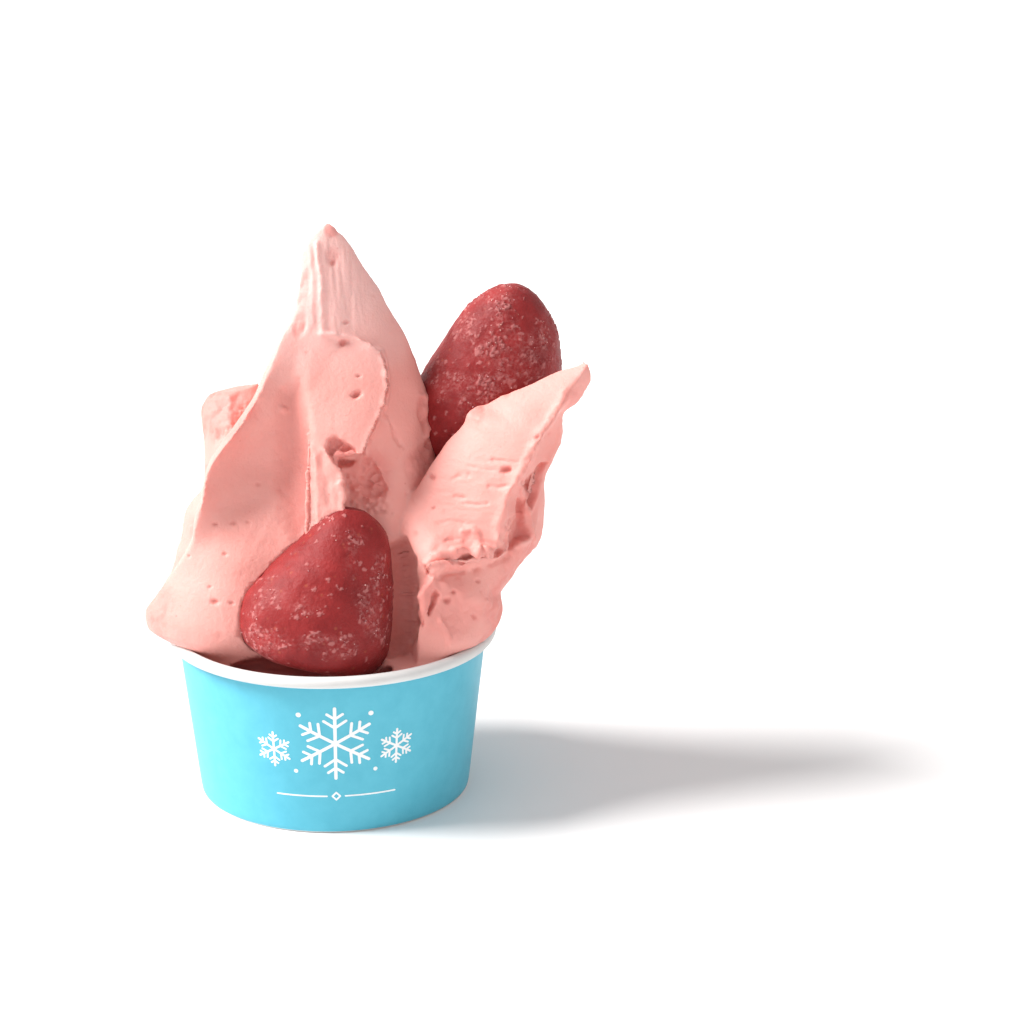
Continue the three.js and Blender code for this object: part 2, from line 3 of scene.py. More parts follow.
import bmesh
import bpy
import numpy as np
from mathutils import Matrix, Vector


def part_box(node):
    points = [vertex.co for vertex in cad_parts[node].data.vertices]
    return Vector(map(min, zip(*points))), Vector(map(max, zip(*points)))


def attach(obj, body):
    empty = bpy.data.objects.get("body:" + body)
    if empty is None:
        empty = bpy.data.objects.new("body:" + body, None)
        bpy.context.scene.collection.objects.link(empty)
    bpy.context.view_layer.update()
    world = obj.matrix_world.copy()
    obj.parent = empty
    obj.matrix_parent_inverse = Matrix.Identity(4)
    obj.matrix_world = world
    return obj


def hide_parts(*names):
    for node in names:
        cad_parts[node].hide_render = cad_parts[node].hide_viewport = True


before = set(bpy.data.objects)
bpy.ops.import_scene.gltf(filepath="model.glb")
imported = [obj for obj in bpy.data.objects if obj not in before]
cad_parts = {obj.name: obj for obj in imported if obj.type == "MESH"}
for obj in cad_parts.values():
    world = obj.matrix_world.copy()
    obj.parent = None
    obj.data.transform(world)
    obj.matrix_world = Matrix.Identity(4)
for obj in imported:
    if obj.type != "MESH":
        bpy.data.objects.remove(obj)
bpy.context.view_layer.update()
mm = 0.001

# Shapes are worked out in millimetres from the cup's own axis, and go to the frame's place at the end.
floorLow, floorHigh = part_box("cup_floor")
cupAxis = Vector(((floorLow.x + floorHigh.x) / 2, (floorLow.y + floorHigh.y) / 2, 0))

# The camera's place is the one that the cup's own outlines give.
photo = {
    "width": 1024,
    "focal": 2600,  # pixels
    "distance": 692,
    "height": 291,
    "pitch": 17.0,
    "yaw": 4.18,
}
cameraPlace = np.array([0, -photo["distance"], photo["height"]])


def makeCamera():
    data = bpy.data.cameras.new("camera")
    data.sensor_width = 36
    data.lens = photo["focal"] / photo["width"] * data.sensor_width
    data.clip_start = 0.01
    obj = bpy.data.objects.new("camera", data)
    obj.location = cupAxis + Vector(cameraPlace) * mm
    obj.rotation_euler = (math.radians(90 - photo["pitch"]), 0, -math.radians(photo["yaw"]))
    bpy.context.scene.collection.objects.link(obj)
    bpy.context.scene.camera = obj


# Where points of the object fall in the photograph, in its pixels.
def inPhoto(points):
    pitch, yaw = math.radians(photo["pitch"]), math.radians(photo["yaw"])
    forward = np.array([math.sin(yaw) * math.cos(pitch), math.cos(yaw) * math.cos(pitch), -math.sin(pitch)])
    right = np.array([math.cos(yaw), -math.sin(yaw), 0])
    up = np.cross(right, forward)
    seen = points - cameraPlace
    scale = photo["focal"] / (seen @ forward)
    middle = photo["width"] / 2
    return np.stack([middle + scale * (seen @ right), middle - scale * (seen @ up)], axis=1)


makeCamera()
print("camera placed")


# Meshes

def meshObject(name, points, faces, smooth=True):
    mesh = bpy.data.meshes.new(name)
    placed = np.asarray(points, float) * mm + np.array(cupAxis)
    mesh.from_pydata(placed.tolist(), [], [tuple(face) for face in faces])
    mesh.update()
    obj = bpy.data.objects.new(name, mesh)
    bpy.context.scene.collection.objects.link(obj)
    if smooth:
        mesh.shade_smooth()
    return obj


def meshPoints(mesh):
    flat = np.empty(len(mesh.vertices) * 3, np.float32)
    mesh.vertices.foreach_get("co", flat)
    return (flat.reshape(-1, 3).astype(float) - np.array(cupAxis)) / mm


def setMeshPoints(mesh, points):
    placed = np.asarray(points) * mm + np.array(cupAxis)
    mesh.vertices.foreach_set("co", placed.astype(np.float32).ravel())
    mesh.update()


def meshNormals(mesh):
    flat = np.empty(len(mesh.vertices) * 3, np.float32)
    mesh.vertex_normals.foreach_get("vector", flat)
    return flat.reshape(-1, 3).astype(float)


# Puts a modifier on, keeps its result as the mesh, and takes the modifier off again.
def applyModifier(obj, kind, **settings):
    modifier = obj.modifiers.new(kind.lower(), kind)
    for key, value in settings.items():
        setattr(modifier, key, value)
    graph = bpy.context.evaluated_depsgraph_get()
    made = bpy.data.meshes.new_from_object(obj.evaluated_get(graph))
    obj.modifiers.clear()
    old = obj.data
    obj.data = made
    bpy.data.meshes.remove(old)
    return obj


def discard(obj):
    mesh = obj.data
    bpy.data.objects.remove(obj)
    bpy.data.meshes.remove(mesh)


def meshEdges(mesh):
    flat = np.empty(len(mesh.edges) * 2, np.int32)
    mesh.edges.foreach_get("vertices", flat)
    return flat.reshape(-1, 2)


# Keeps only the largest connected piece, so no crumb and no sealed hollow is left.
def keepLargest(mesh):
    edges = meshEdges(mesh)
    label = np.arange(len(mesh.vertices))
    while True:
        low = np.minimum(label[edges[:, 0]], label[edges[:, 1]])
        fresh = label.copy()
        np.minimum.at(fresh, edges[:, 0], low)
        np.minimum.at(fresh, edges[:, 1], low)
        fresh = fresh[fresh]
        if np.array_equal(fresh, label):
            break
        label = fresh
    values, counts = np.unique(label, return_counts=True)
    main = values[np.argmax(counts)]
    work = bmesh.new()
    work.from_mesh(mesh)
    work.verts.ensure_lookup_table()
    bmesh.ops.delete(work, geom=[v for v in work.verts if label[v.index] != main], context="VERTS")
    work.to_mesh(mesh)
    work.free()


# A whole number without pattern for each cell of a lattice.
def cellNumber(at, seed):
    mixed = at[:, 0] * 374761393 + at[:, 1] * 668265263 + at[:, 2] * 1440662683 + seed * 974634777
    return (mixed ^ (mixed >> 13)) * 1274126177 & 0xFFFFFFFF


# Smooth noise between -1 and 1 from a lattice of such numbers.
def noise(points, size, seed):
    grid = points / size + 31.7 * (seed + 1)
    cell = np.floor(grid).astype(np.int64)
    part = grid - cell
    part = part * part * part * (part * (part * 6 - 15) + 10)
    total = np.zeros(len(points))
    for corner in range(8):
        step = np.array([corner & 1, corner >> 1 & 1, corner >> 2 & 1])
        mixed = cellNumber(cell + step, seed)
        mixed = (mixed ^ (mixed >> 16)) & 0xFFFF
        weight = np.prod(np.where(step, part, 1 - part), axis=1)
        total += weight * (mixed / 32767.5 - 1)
    return total


# Several sizes of noise on top of each other.
def layeredNoise(points, size, seed, layers=3):
    total = np.zeros(len(points))
    for layer in range(layers):
        total += noise(points, size / 2**layer, seed + layer) / 2**layer
    return total / (2 - 2 / 2**layers)


# Distance to the nearest of many scattered spots about size apart, and a chance number for that spot.
def nearestSpot(points, size, seed):
    grid = points / size
    cell = np.floor(grid).astype(np.int64)
    best = np.full(len(points), 9.0)
    chance = np.zeros(len(points))
    for shift in range(27):
        at = cell + np.array([shift % 3 - 1, shift // 3 % 3 - 1, shift // 9 - 1])
        mixed = cellNumber(at, seed)
        spread = np.stack([(mixed >> bit & 0xFF) / 255 for bit in (0, 8, 16)], axis=1)
        away = np.linalg.norm(at + spread - grid, axis=1)
        nearer = away < best
        best = np.where(nearer, away, best)
        chance = np.where(nearer, (mixed >> 24 & 0xFF) / 255, chance)
    return best * size, chance


def fade(value, low, high):
    t = np.clip((value - low) / (high - low), 0, 1)
    return t * t * (3 - 2 * t)


# Smooth value of [at, v1, v2, ...] keys at many places, with no overshoot between them.
def keyed(keys, at):
    keys = np.array(keys, float)
    place, value = keys[:, 0], keys[:, 1:]
    if len(place) == 1:
        return np.repeat(value, len(at), axis=0)
    rise = np.diff(value, axis=0) / np.diff(place)[:, None]
    product = rise[:-1] * rise[1:]
    slope = np.concatenate([rise[:1], np.zeros_like(product), rise[-1:]])
    total = np.where(product > 0, rise[:-1] + rise[1:], 1)
    slope[1:-1] = np.where(product > 0, 2 * product / total, 0)
    k = np.clip(np.searchsorted(place, at, side="right") - 1, 0, len(place) - 2)
    span = (place[k + 1] - place[k])[:, None]
    t = np.clip((at - place[k])[:, None] / span, 0, 1)
    return (
        (2 * t**3 - 3 * t**2 + 1) * value[k]
        + (t**3 - 2 * t**2 + t) * slope[k] * span
        + (3 * t**2 - 2 * t**3) * value[k + 1]
        + (t**3 - t**2) * slope[k + 1] * span
    )


# Gentle unevenness from crossed waves, between -1 and 1.
def wobble(points, scale, seed):
    x, y, z = (points / scale).T
    return (
        np.sin(x * 1.7 + y * 0.9 + seed) * np.cos(z * 1.3 - x * 0.6 + seed * 2)
        + np.sin(y * 2.1 - z * 1.1 + seed * 3) * np.cos(x * 1.9 + seed)
        + np.sin(z * 2.3 + x * 1.2 + seed * 5) * np.cos(y * 1.4 + seed * 4)
    ) / 3


# Closed skin over rings of points: the first ring is capped, and the last is drawn to its middle.
def skin(rings):
    rows, count = rings.shape[:2]
    points = np.concatenate([rings.reshape(-1, 3), rings[:1].mean(axis=1), rings[-1:].mean(axis=1)])
    foot, head = rows * count, rows * count + 1
    faces = []
    for i in range(count):
        j = (i + 1) % count
        faces.append((foot, j, i))
        faces.extend(
            (r * count + i, r * count + j, (r + 1) * count + j, (r + 1) * count + i) for r in range(rows - 1)
        )
        faces.append(((rows - 1) * count + i, (rows - 1) * count + j, head))
    return points, faces


# Axes of a piece that leans from foot to tip: to its right, away from the front, and along it.
def leaning(foot, tip):
    along = np.array(tip, float) - foot
    along /= np.linalg.norm(along)
    right = np.cross([0, 1, 0], along)
    right /= np.linalg.norm(right)
    return np.stack([right, np.cross(along, right), along])


# Profile turned about the cup's axis. The profile is closed.
def turned(profile, segments):
    turns = np.arange(segments) * 2 * math.pi / segments
    profile = np.array(profile, float)
    points = np.stack(
        [
            np.outer(profile[:, 0], np.cos(turns)),
            np.outer(profile[:, 0], np.sin(turns)),
            np.repeat(profile[:, 1:], segments, axis=1),
        ],
        axis=2,
    ).reshape(-1, 3)
    rows = len(profile)
    faces = []
    for r in range(rows):
        a, b = r * segments, (r + 1) % rows * segments
        for i in range(segments):
            j = (i + 1) % segments
            faces.append((a + i, a + j, b + j, b + i))
    return points, faces


# Sizes of the paper cup, as its solids have them.
cupSizes = {
    "height": 47.8,
    "footRadius": 38,
    "wallRadius": 43,
    "rollRadius": 1.65,
    "paper": 0.5,
    "floorHeight": 5,
    "foldHeight": 4.4,
    "seamWidth": 7,
    "gap": 0.25,
    "segments": 192,
}
rollHeight = cupSizes["height"] - cupSizes["rollRadius"]
wallSlope = (cupSizes["wallRadius"] - cupSizes["footRadius"]) / (rollHeight - 2)


def wallOuter(height):
    return cupSizes["footRadius"] + wallSlope * height


def wallInner(height):
    return wallOuter(height) - cupSizes["paper"]


rollCentre = wallOuter(rollHeight) - cupSizes["paper"] + cupSizes["rollRadius"]


# One spread lump of sorbet: its ridges run from foot to tip, anticlockwise seen from the tip, and the face
# from each ridge to the next is an arc, crowned or hollow by "bow" parts of its width. Each row of a path is
# the height along the lump, the place to the right and the place towards the back.
lumpDetail = {
    "steps": 24,  # from one ridge to the next
    "sharpSteps": 5,  # how far a ridge's sharpness reaches
    "rowsTimes": 5,
    "smoothing": 12,
    "waveSize": 5,
    "waveWay": (1, -1, 0.6),
}


def ridge(path, bow, sharp=0.6):
    return {"path": path, "bow": bow if isinstance(bow, list) else [[path[0][0], bow]], "sharp": sharp}


def lumpSections(ridges, at):
    steps = lumpDetail["steps"]
    corners = [keyed(one["path"], at) for one in ridges]
    t = np.arange(steps) / steps

    def nearness(share):  # 1 at a ridge, 0 a few steps away from it
        return np.maximum(1 - share * steps / lumpDetail["sharpSteps"], 0)

    pieces, ease = [], []
    for k, one in enumerate(ridges):
        after = (k + 1) % len(ridges)
        a, b = corners[k], corners[after]
        crown = keyed(one["bow"], at) * (4 * t * (1 - t))
        run = b - a
        x = a[:, :1] + run[:, :1] * t + run[:, 1:] * crown
        y = a[:, 1:] + run[:, 1:] * t - run[:, :1] * crown
        pieces.append(np.stack([x, y], axis=2))
        near = nearness(t) * one["sharp"] + nearness(1 - t) * ridges[after]["sharp"]
        ease.append(0.5 * (1 - near))
    ring = np.concatenate(pieces, axis=1)
    ease = np.concatenate(ease)[None, :, None]
    for _ in range(lumpDetail["smoothing"]):
        ring = ring + ease * ((np.roll(ring, 1, axis=1) + np.roll(ring, -1, axis=1)) / 2 - ring)
    return ring


def lumpMesh(lump):
    first, last = lump["ridges"][0]["path"][0][0], lump["ridges"][0]["path"][-1][0]
    rows = lump["rows"] * lumpDetail["rowsTimes"]
    share = np.arange(rows + 1) / rows
    along = first + (last - first) * (1 - (1 - share) ** lump["crowd"])
    ring = lumpSections(lump["ridges"], along)
    local = np.concatenate([ring, np.broadcast_to(along[:, None, None], (*ring.shape[:2], 1))], axis=2)
    points = local.reshape(-1, 3) @ leaning(lump["foot"], lump["tip"]) + lump["foot"]
    turn = math.radians(lump.get("turn", 0))
    spin = np.array([[math.cos(turn), math.sin(turn), 0], [-math.sin(turn), math.cos(turn), 0], [0, 0, 1]])
    points = points @ spin
    swell = lump["rough"] * wobble(points, lumpDetail["waveSize"], lump["seed"])
    points = points + swell[:, None] * lumpDetail["waveWay"]
    return skin(points.reshape(local.shape))


# The tall flame on the left: its front left is one long hollow sweep of the spatula.
flame = {
    "foot": (0, 0, 0),
    "tip": (0, 0, 160),
    "rows": 40,
    "crowd": 1,
    "rough": 0.3,
    "seed": 1.3,
    "ridges": [
        ridge([[20, 30, -4], [60, 32, -2], [80, 31.5, 2], [98.8, 29.5, 4], [114.4, 27, 5], [124.5, 23.6, 6],
               [138.3, 16.6, 6.5], [146, 11.6, 7], [152, 8.4, 8], [157, 4.6, 8], [160, 1.8, 8]], 0.14, 0.8),
        ridge([[20, 24, 24], [48, 24, 25], [60, 22, 26], [80, 20, 25], [100, 17, 22.5], [120, 12, 19],
               [138, 6.5, 14.5], [152, 3, 11], [160, 1.2, 8.3]], [[20, 0.1], [60, 0], [90, -0.12]], 0.9),
        ridge([[20, -6, 34], [48, -6, 34], [60, -7, 31], [80, -8, 26], [100, -8, 22], [120, -6, 17.5],
               [138, -3, 13.5], [152, -2, 11], [160, 0.9, 8.3]], [[20, 0.14], [60, 0.04], [90, -0.08]], 0.8),
        ridge([[20, -28, 24], [48, -33, 24], [60, -32, 22], [80, -27, 17], [100, -20, 13], [120, -12, 10],
               [138, -6, 8], [160, 0.6, 8.2]], 0.1, 0.3),
        ridge([[20, -34, -4], [43, -39.5, -8], [46, -42.5, -9], [48.5, -48, -10], [51, -51, -11],
               [55.4, -51.5, -12], [61.2, -48.3, -13], [69, -42.2, -14.5], [76.2, -38, -16],
               [84.3, -35.8, -18], [91, -34, -19], [98.5, -32, -18.5], [108.2, -24.4, -15],
               [117.3, -18.2, -9.5], [126, -14.2, -4.5], [131, -12, -2.5], [134.8, -9.6, 0],
               [145.4, -7.1, 4.2], [152, -6.4, 6], [156, -4, 7], [160, 0.7, 8]],
              [[20, 0.16], [60, 0.16], [72, 0.13], [80, 0.02], [88, -0.12], [100, -0.16], [112, -0.12],
               [124, 0]], 1),
        ridge([[20, -18, -26], [48, -20, -28], [54, -20, -28.5], [60, -18.5, -27], [68, -18, -24],
               [76, -15.5, -21], [84, -13.8, -17], [90, -13, -13], [97, -12, -9.6], [112, -10.5, -7.4],
               [122, -9, -5.4], [132, -6.5, -3], [145, -4.5, 1.6], [152, -3.8, 4.5], [160, 0.75, 7.9]],
              0, 0.1),
        ridge([[20, -6, -34], [48, -6, -34], [60, -5, -28], [70, -4, -24], [84, -3.5, -19.5],
               [97, -3.9, -14.5], [112, -5, -10], [122, -5, -6.5], [132, -2.5, -3.4], [145, -1.5, 1],
               [152, -1.5, 4], [160, 0.8, 7.8]],
              [[20, 0.1], [60, -0.02], [84, -0.13], [98, -0.12], [106, 0.05]], 0.8),
        ridge([[20, 14, -30], [60, 14.5, -24], [72, 15, -19.5], [84, 15, -15], [98, 15, -9.6],
               [114, 13, -6.5], [124, 11, -4], [138, 6, 0], [152, 3, 5], [160, 1.2, 7.8]], 0.13, 0.3),
    ],
}

# The torn lump behind the flame's left lip, backlit and ragged along its slanting top.
ruffle = {
    "foot": (-22, 9, 28),
    "tip": (-39, 10, 106),
    "rows": 24,
    "crowd": 1.1,
    "rough": 0.8,
    "seed": 4.1,
    "ridges": [
        ridge([[0, 14, 0], [60, 15, 2], [76, 20, 2], [80, 22, 3], [83.3, 21.5, 4]], 0.1),
        ridge([[0, 2, 16], [30, 2, 17], [60, 3, 12], [74, 6, 9], [79, 8, 8], [83.3, 11, 7]], 0.12),
        ridge([[0, -14, 0], [14, -17, -2], [26, -18.5, -2], [36, -16.8, -2], [42.4, -13.1, -1],
               [45.3, -10.3, -0.5], [52, -7.8, 0], [55, -5, 0], [58, -1.8, 0], [61, -0.6, 0.5],
               [67.6, 1.7, 1], [74.4, 2.8, 1], [80, 3.8, 1.5], [82, 5, 2], [83.3, 7.5, 3.5]], 0.08, 0.8),
        ridge([[0, -2, -12], [30, -1, -13], [60, 6, -11], [76, 11, -9], [80, 12, -6], [83.3, 13, -1.5]],
              0.05, 0.7),
    ],
}

# The thin fold that lies on the flame's face, with its curled edge to the right.
fold = {
    "foot": (0, -20, 84),
    "tip": (4.5, -2, 128),
    "rows": 22,
    "crowd": 1.2,
    "rough": 0.15,
    "seed": 2.2,
    "ridges": [
        ridge([[-10, 3.2, -2.4], [2.5, 3.2, -3], [8, 2.8, -3], [13.8, 1.2, -3], [16, 0.4, -3],
               [18.1, 7.2, -3.4], [20.4, 7.9, -3.4], [24.2, 9.3, -3.4], [28.4, 10.9, -3.2], [32.4, 12.4, -3],
               [36.5, 12.8, -2.6], [41.4, 12.2, -2.2], [46.2, 10.2, -1.9], [47.8, 6.6, -1.7], [49, 3.2, -1.6],
               [49.8, 0.2, -1.5]],
              0.12, 1),
        ridge([[-10, 0, 4], [49.8, -2, 4]], 0),
        ridge([[-10, -7, -1], [0, -7.6, -1.4], [20, -8.6, -1.2], [38, -9.6, -0.8], [46, -9, -0.6],
               [49.8, -5, -0.6]], 0.05, 0.1),
    ],
}

# The tongue that leans out to the right, smooth on its upper left face.
petal = {
    "foot": (22, -20, 46),
    "tip": (70, -8, 119),
    "rows": 32,
    "crowd": 1.25,
    "rough": 0.3,
    "seed": 3.7,
    "ridges": [
        ridge([[-14, -5, -2], [8, -4, -3], [20, -7, -2], [26, -2.5, -2], [33, 4, -2], [40, 9, -1],
               [45, 12, 0], [52, 9, 1], [60, 5.4, 1], [71, 4, 1], [77, 0.6, 0], [82, 2.4, -1], [88, 2, -1],
               [91, 0, -1.4], [92, -1.6, -1.5]], 0.14, 0.8),
        ridge([[-14, -6, 12], [24, -8, 13], [45, -7, 13], [60, -9, 11], [75, -9, 7], [85, -6, 3], [90, -4, 1],
               [92, -3.6, -0.6]], 0.12, 0.3),
        ridge([[-14, 0, 5], [10, -10, 5], [20, -17.5, 5], [24.6, -21.8, 5], [31.1, -23.3, 5], [44, -23.2, 5],
               [53, -22.8, 5], [60, -21.4, 5], [62.5, -22, 5], [66, -20.4, 5], [67.5, -18.6, 4.6],
               [71, -17, 4], [77, -13, 3], [87, -6.2, 1.5], [90.5, -3.2, 0], [92, -2, -1]], 0.07, 0.8),
        ridge([[-14, 5, -6], [8, -3, -8], [18, -8, -9], [24, -12, -9.6], [30, -8, -10.5], [36, 2, -10.5],
               [39, 3, -10.5], [45.3, 0.3, -10.5], [50, -1.9, -10.4], [58, -2.2, -10], [63.4, -3, -9.4],
               [68.6, -3.4, -8.6], [75, -2.8, -7], [82.5, -3, -4.6], [88, -2.2, -3], [92, -2, -1.6]],
              [[-14, 0.05], [30, -0.02], [42, -0.16], [66, -0.2], [80, 0]], 1),
    ],
}

# The thin torn fold down the tongue's right side.
hem = {
    "foot": (44, -10, 62),
    "tip": (62, -6, 106),
    "rows": 14,
    "crowd": 1.2,
    "rough": 0.4,
    "seed": 8.4,
    "ridges": [
        ridge([[-4, 3, 0], [4, 5.4, 0], [10, 7.2, 0], [14.5, 8.8, 0], [18.3, 8.3, 0], [24, 6.6, 0],
               [28.1, 4.9, 0], [33.3, 3.4, 0], [40.6, 3.6, 0], [43.4, 3.8, 0], [49.7, 1.6, -0.6],
               [51, 0, -1]], 0.1, 0.9),
        ridge([[-4, -6, 7], [20, -6, 8], [44, -4, 4], [51, -2, 0]], 0.1, 0.3),
        ridge([[-4, -2, -8], [20, 0, -7.5], [38, 0, -5], [51, -2, -2]], 0.06, 0.9),
    ],
}

# The rough shoulder that carries the tongue and swells over the rim at the right.
shoulder = {
    "foot": (22, -20, 46),
    "tip": (70, -8, 119),
    "rows": 20,
    "crowd": 1.2,
    "rough": 0.7,
    "seed": 5.9,
    "ridges": [
        ridge([[-14, 12, 0], [0, 11, 0], [5, 12.8, 0], [10, 15.2, 0], [15.3, 16.5, 0], [21.5, 15.4, 0],
               [25, 12.8, 0], [27.5, 11.6, 0], [30.1, 11.6, 0], [34.3, 12.4, 0], [38.3, 12.6, 0.6],
               [43, 12.2, 1], [50, 9, 2], [56, 4, 3]], 0.1, 0.7),
        ridge([[-14, 14, 26], [24, 5, 24], [44, 2, 16], [56, 1, 8]], 0.12, 0.3),
        ridge([[-14, 2, 4], [2, -7, 4], [12, -13, 4], [24, -17, 4], [44, -12, 5], [56, -3, 3]], -0.05, 0.3),
        ridge([[-14, 7, -12], [2.3, -1.6, -13], [6.8, -4.8, -13], [10.3, -6, -13], [13, -8.2, -12.6],
               [16, -8.8, -12.4], [21, -8.6, -11.4], [24, -11, -9], [34, -8, -6], [56, 0, 0]], 0.04, 0.9),
        ridge([[-14, 11, -9], [8, 5, -12], [20, 3, -11], [30, 3, -7], [40, 3, -5], [56, 1, 0]], 0.1, 0.2),
    ],
}

# The bed of sorbet that the high strawberry sits in, behind the tongue.
bed = {
    "foot": (0, 0, 0),
    "tip": (0, 0, 98),
    "rows": 18,
    "crowd": 1.3,
    "rough": 0.9,
    "seed": 7.7,
    "ridges": [
        ridge([[20, 34, 0], [43, 39, 4], [47, 43, 4], [52, 46, 5], [60, 46, 8], [80, 51, 12], [92, 52, 14],
               [98, 46, 16]], 0.12, 0.6),
        ridge([[20, 18, 30], [43, 20, 33], [48, 22, 35], [60, 24, 36], [80, 29, 34], [92, 34, 32],
               [98, 36, 27]], -0.05, 0.8),
        ridge([[20, -8, 20], [60, -2, 30], [80, 8, 28], [92, 18, 24], [98, 26, 21]], 0.05, 0.4),
        ridge([[20, 12, -10], [60, 18, -6], [80, 24, 2], [92, 27, 6], [98, 31, 11]], 0.08, 0.3),
    ],
}


# Broad strokes drawn up the back: each is hollow between its two lips, and leans in from reach to top.
def backStroke(turn, reach, top, height, width, lean, seed):
    def along(keys):
        return [[w * height, u * width, v] for w, u, v in keys]

    return {
        "turn": turn,
        "foot": (0, -reach, 40),
        "tip": (lean, -top, 40 + height),
        "rows": 16,
        "crowd": 1.2,
        "rough": 0.6,
        "seed": seed,
        "ridges": [
            ridge(along([[-0.1, 0.8, 4], [0.06, 1, -1], [0.14, 1.12, -3], [0.3, 1, -3], [0.62, 0.66, -2],
                         [0.85, 0.36, 0], [0.96, 0.16, 1], [1, 0.05, 1.5]]), 0.08, 0.8),
            ridge(along([[-0.1, 0.1, 16], [0.5, 0.1, 15], [0.9, 0, 6], [1, 0, 2.5]]), 0.08, 0.3),
            ridge(along([[-0.1, -0.8, 3], [0.08, -0.96, -2], [0.18, -1.08, -4], [0.36, -0.86, -3],
                         [0.6, -0.66, -3], [0.8, -0.34, -1], [0.94, -0.14, 0], [1, -0.04, 1]]),
                  [[0, 0.02], [14, -0.1], [height, -0.1]], 1),
        ],
    }


backStrokes = [
    backStroke(turn=112, reach=34, top=36, height=50, width=18, lean=2, seed=8.1),
    backStroke(turn=155, reach=32, top=22, height=60, width=18, lean=3, seed=9.2),
    backStroke(turn=196, reach=32, top=17, height=76, width=19, lean=-2, seed=10.6),
    backStroke(turn=232, reach=31, top=24, height=46, width=16, lean=-3, seed=12.1),
]

# The fill inside the cup, up to the rim all round but for the hollow under the low strawberry.
fill = {
    "bottom": cupSizes["floorHeight"] + cupSizes["paper"] + cupSizes["gap"],
    "straight": 28,
    "brim": 46.4,
    "dome": 3.5,
    "rings": [(1, 0), (0.8, 0.2), (0.45, 1)],  # parts of the radius and of the dome's height
    "dip": 9.5,
    "dipTowards": (-0.3, -1, 0),
    "dipEdge": (0.72, 0.9),
    "unevenness": 0.7,
    "unevenSize": 0.2,
}


def fillMesh():
    turns = np.arange(cupSizes["segments"]) * 2 * math.pi / cupSizes["segments"]
    out = np.stack([np.cos(turns), np.sin(turns), np.zeros_like(turns)], axis=1)
    towards = np.array(fill["dipTowards"]) / np.linalg.norm(fill["dipTowards"])
    dip = fill["dip"] * fade(out @ towards, *fill["dipEdge"])
    uneven = fill["unevenness"] * wobble(out, fill["unevenSize"], 2)

    def ring(spread, height):
        radius = spread * (wallInner(height) - cupSizes["gap"])
        return np.column_stack([out[:, :2] * radius[:, None], height])

    def brim(rise):
        return fill["brim"] + rise * fill["dome"] - dip + uneven

    level = np.ones(len(out))
    rings = [ring(1, fill["bottom"] * level), ring(1, fill["straight"] * level)]
    rings += [ring(spread, brim(rise)) for spread, rise in fill["rings"]]
    return skin(np.array(rings))


# All that the sorbet stays clear of: the wall, its rolled rim, and the space around the cup below the rim.
def cupEnvelope():
    around, below, arcSteps = 90, -5, 24
    clear = cupSizes["rollRadius"] + cupSizes["gap"]
    profile = [(wallInner(0) - cupSizes["gap"], below), (around, below), (around, rollHeight - clear)]
    for i in range(arcSteps + 1):
        angle = math.pi * (1.5 * i / arcSteps - 0.5)
        profile.append((rollCentre + clear * math.cos(angle), rollHeight + clear * math.sin(angle)))
    return turned(profile, cupSizes["segments"])


# A frozen strawberry, hulled, with its broad end down: rounded shoulders and a blunt tip.
frontBerry = {
    "foot": (-3.8, -25.4, 45),
    "tip": (5.4, -20, 88),
    "length": 43,
    "depth": 0.84,
    "turns": 0.8,
    "outline": [[0, 16, 13], [0.02, 19.5, 15.2], [0.08, 22.4, 17], [0.17, 23.8, 17.5], [0.25, 24.4, 17.3],
                [0.34, 23.8, 16.8], [0.44, 21.6, 16.1], [0.556, 18.3, 15.3], [0.656, 15, 14.4],
                [0.75, 11.8, 13.3], [0.88, 8, 10.9], [0.95, 5, 8], [1, 2, 4.2]],
}
backBerry = {
    "foot": (36.5, 13.5, 89),
    "tip": (54.5, 14, 140),
    "length": 54,
    "depth": 0.9,
    "turns": 2.6,
    "outline": [[0, 9, 8], [0.03, 13, 13], [0.12, 17, 18], [0.3, 19, 21], [0.45, 18, 20.8],
                [0.65, 15.2, 18.4], [0.8, 12.8, 14.6], [0.88, 10.6, 11.4], [0.93, 8.4, 8.6], [0.98, 4.6, 4.6],
                [1, 2, 2]],
}

berryShape = {"ribs": 3, "uneven": 0.015, "waveSize": 4, "middle": 0.45}


def berryMesh(berry, grow, rows, segments):
    share = (1 - np.cos(math.pi * np.arange(1, rows) / rows)) / 2
    left, right = keyed(berry["outline"], share).T
    turns = 2 * math.pi * np.arange(segments) / segments
    side = np.where(np.cos(turns) > 0, right[:, None], left[:, None])
    reach = np.stack(
        [
            np.cos(turns) * side,
            np.sin(turns) * ((left + right) / 2 * berry["depth"])[:, None],
            np.repeat(share[:, None] * berry["length"], segments, axis=1),
        ],
        axis=2,
    ).reshape(-1, 3)
    ribs = np.sin(berryShape["ribs"] * np.tile(turns, rows - 1) + berry["turns"])
    waves = wobble(reach, berryShape["waveSize"], berry["turns"])
    bump = 1 + berryShape["uneven"] * ribs + berryShape["uneven"] * waves
    out = reach - [0, 0, berryShape["middle"] * berry["length"]]
    out /= np.linalg.norm(out, axis=1)[:, None]
    shaped = reach * np.stack([bump, bump, np.ones_like(bump)], axis=1) + grow * out
    placed = shaped @ leaning(berry["foot"], berry["tip"]) + berry["foot"]
    return skin(placed.reshape(rows - 1, segments, 3))


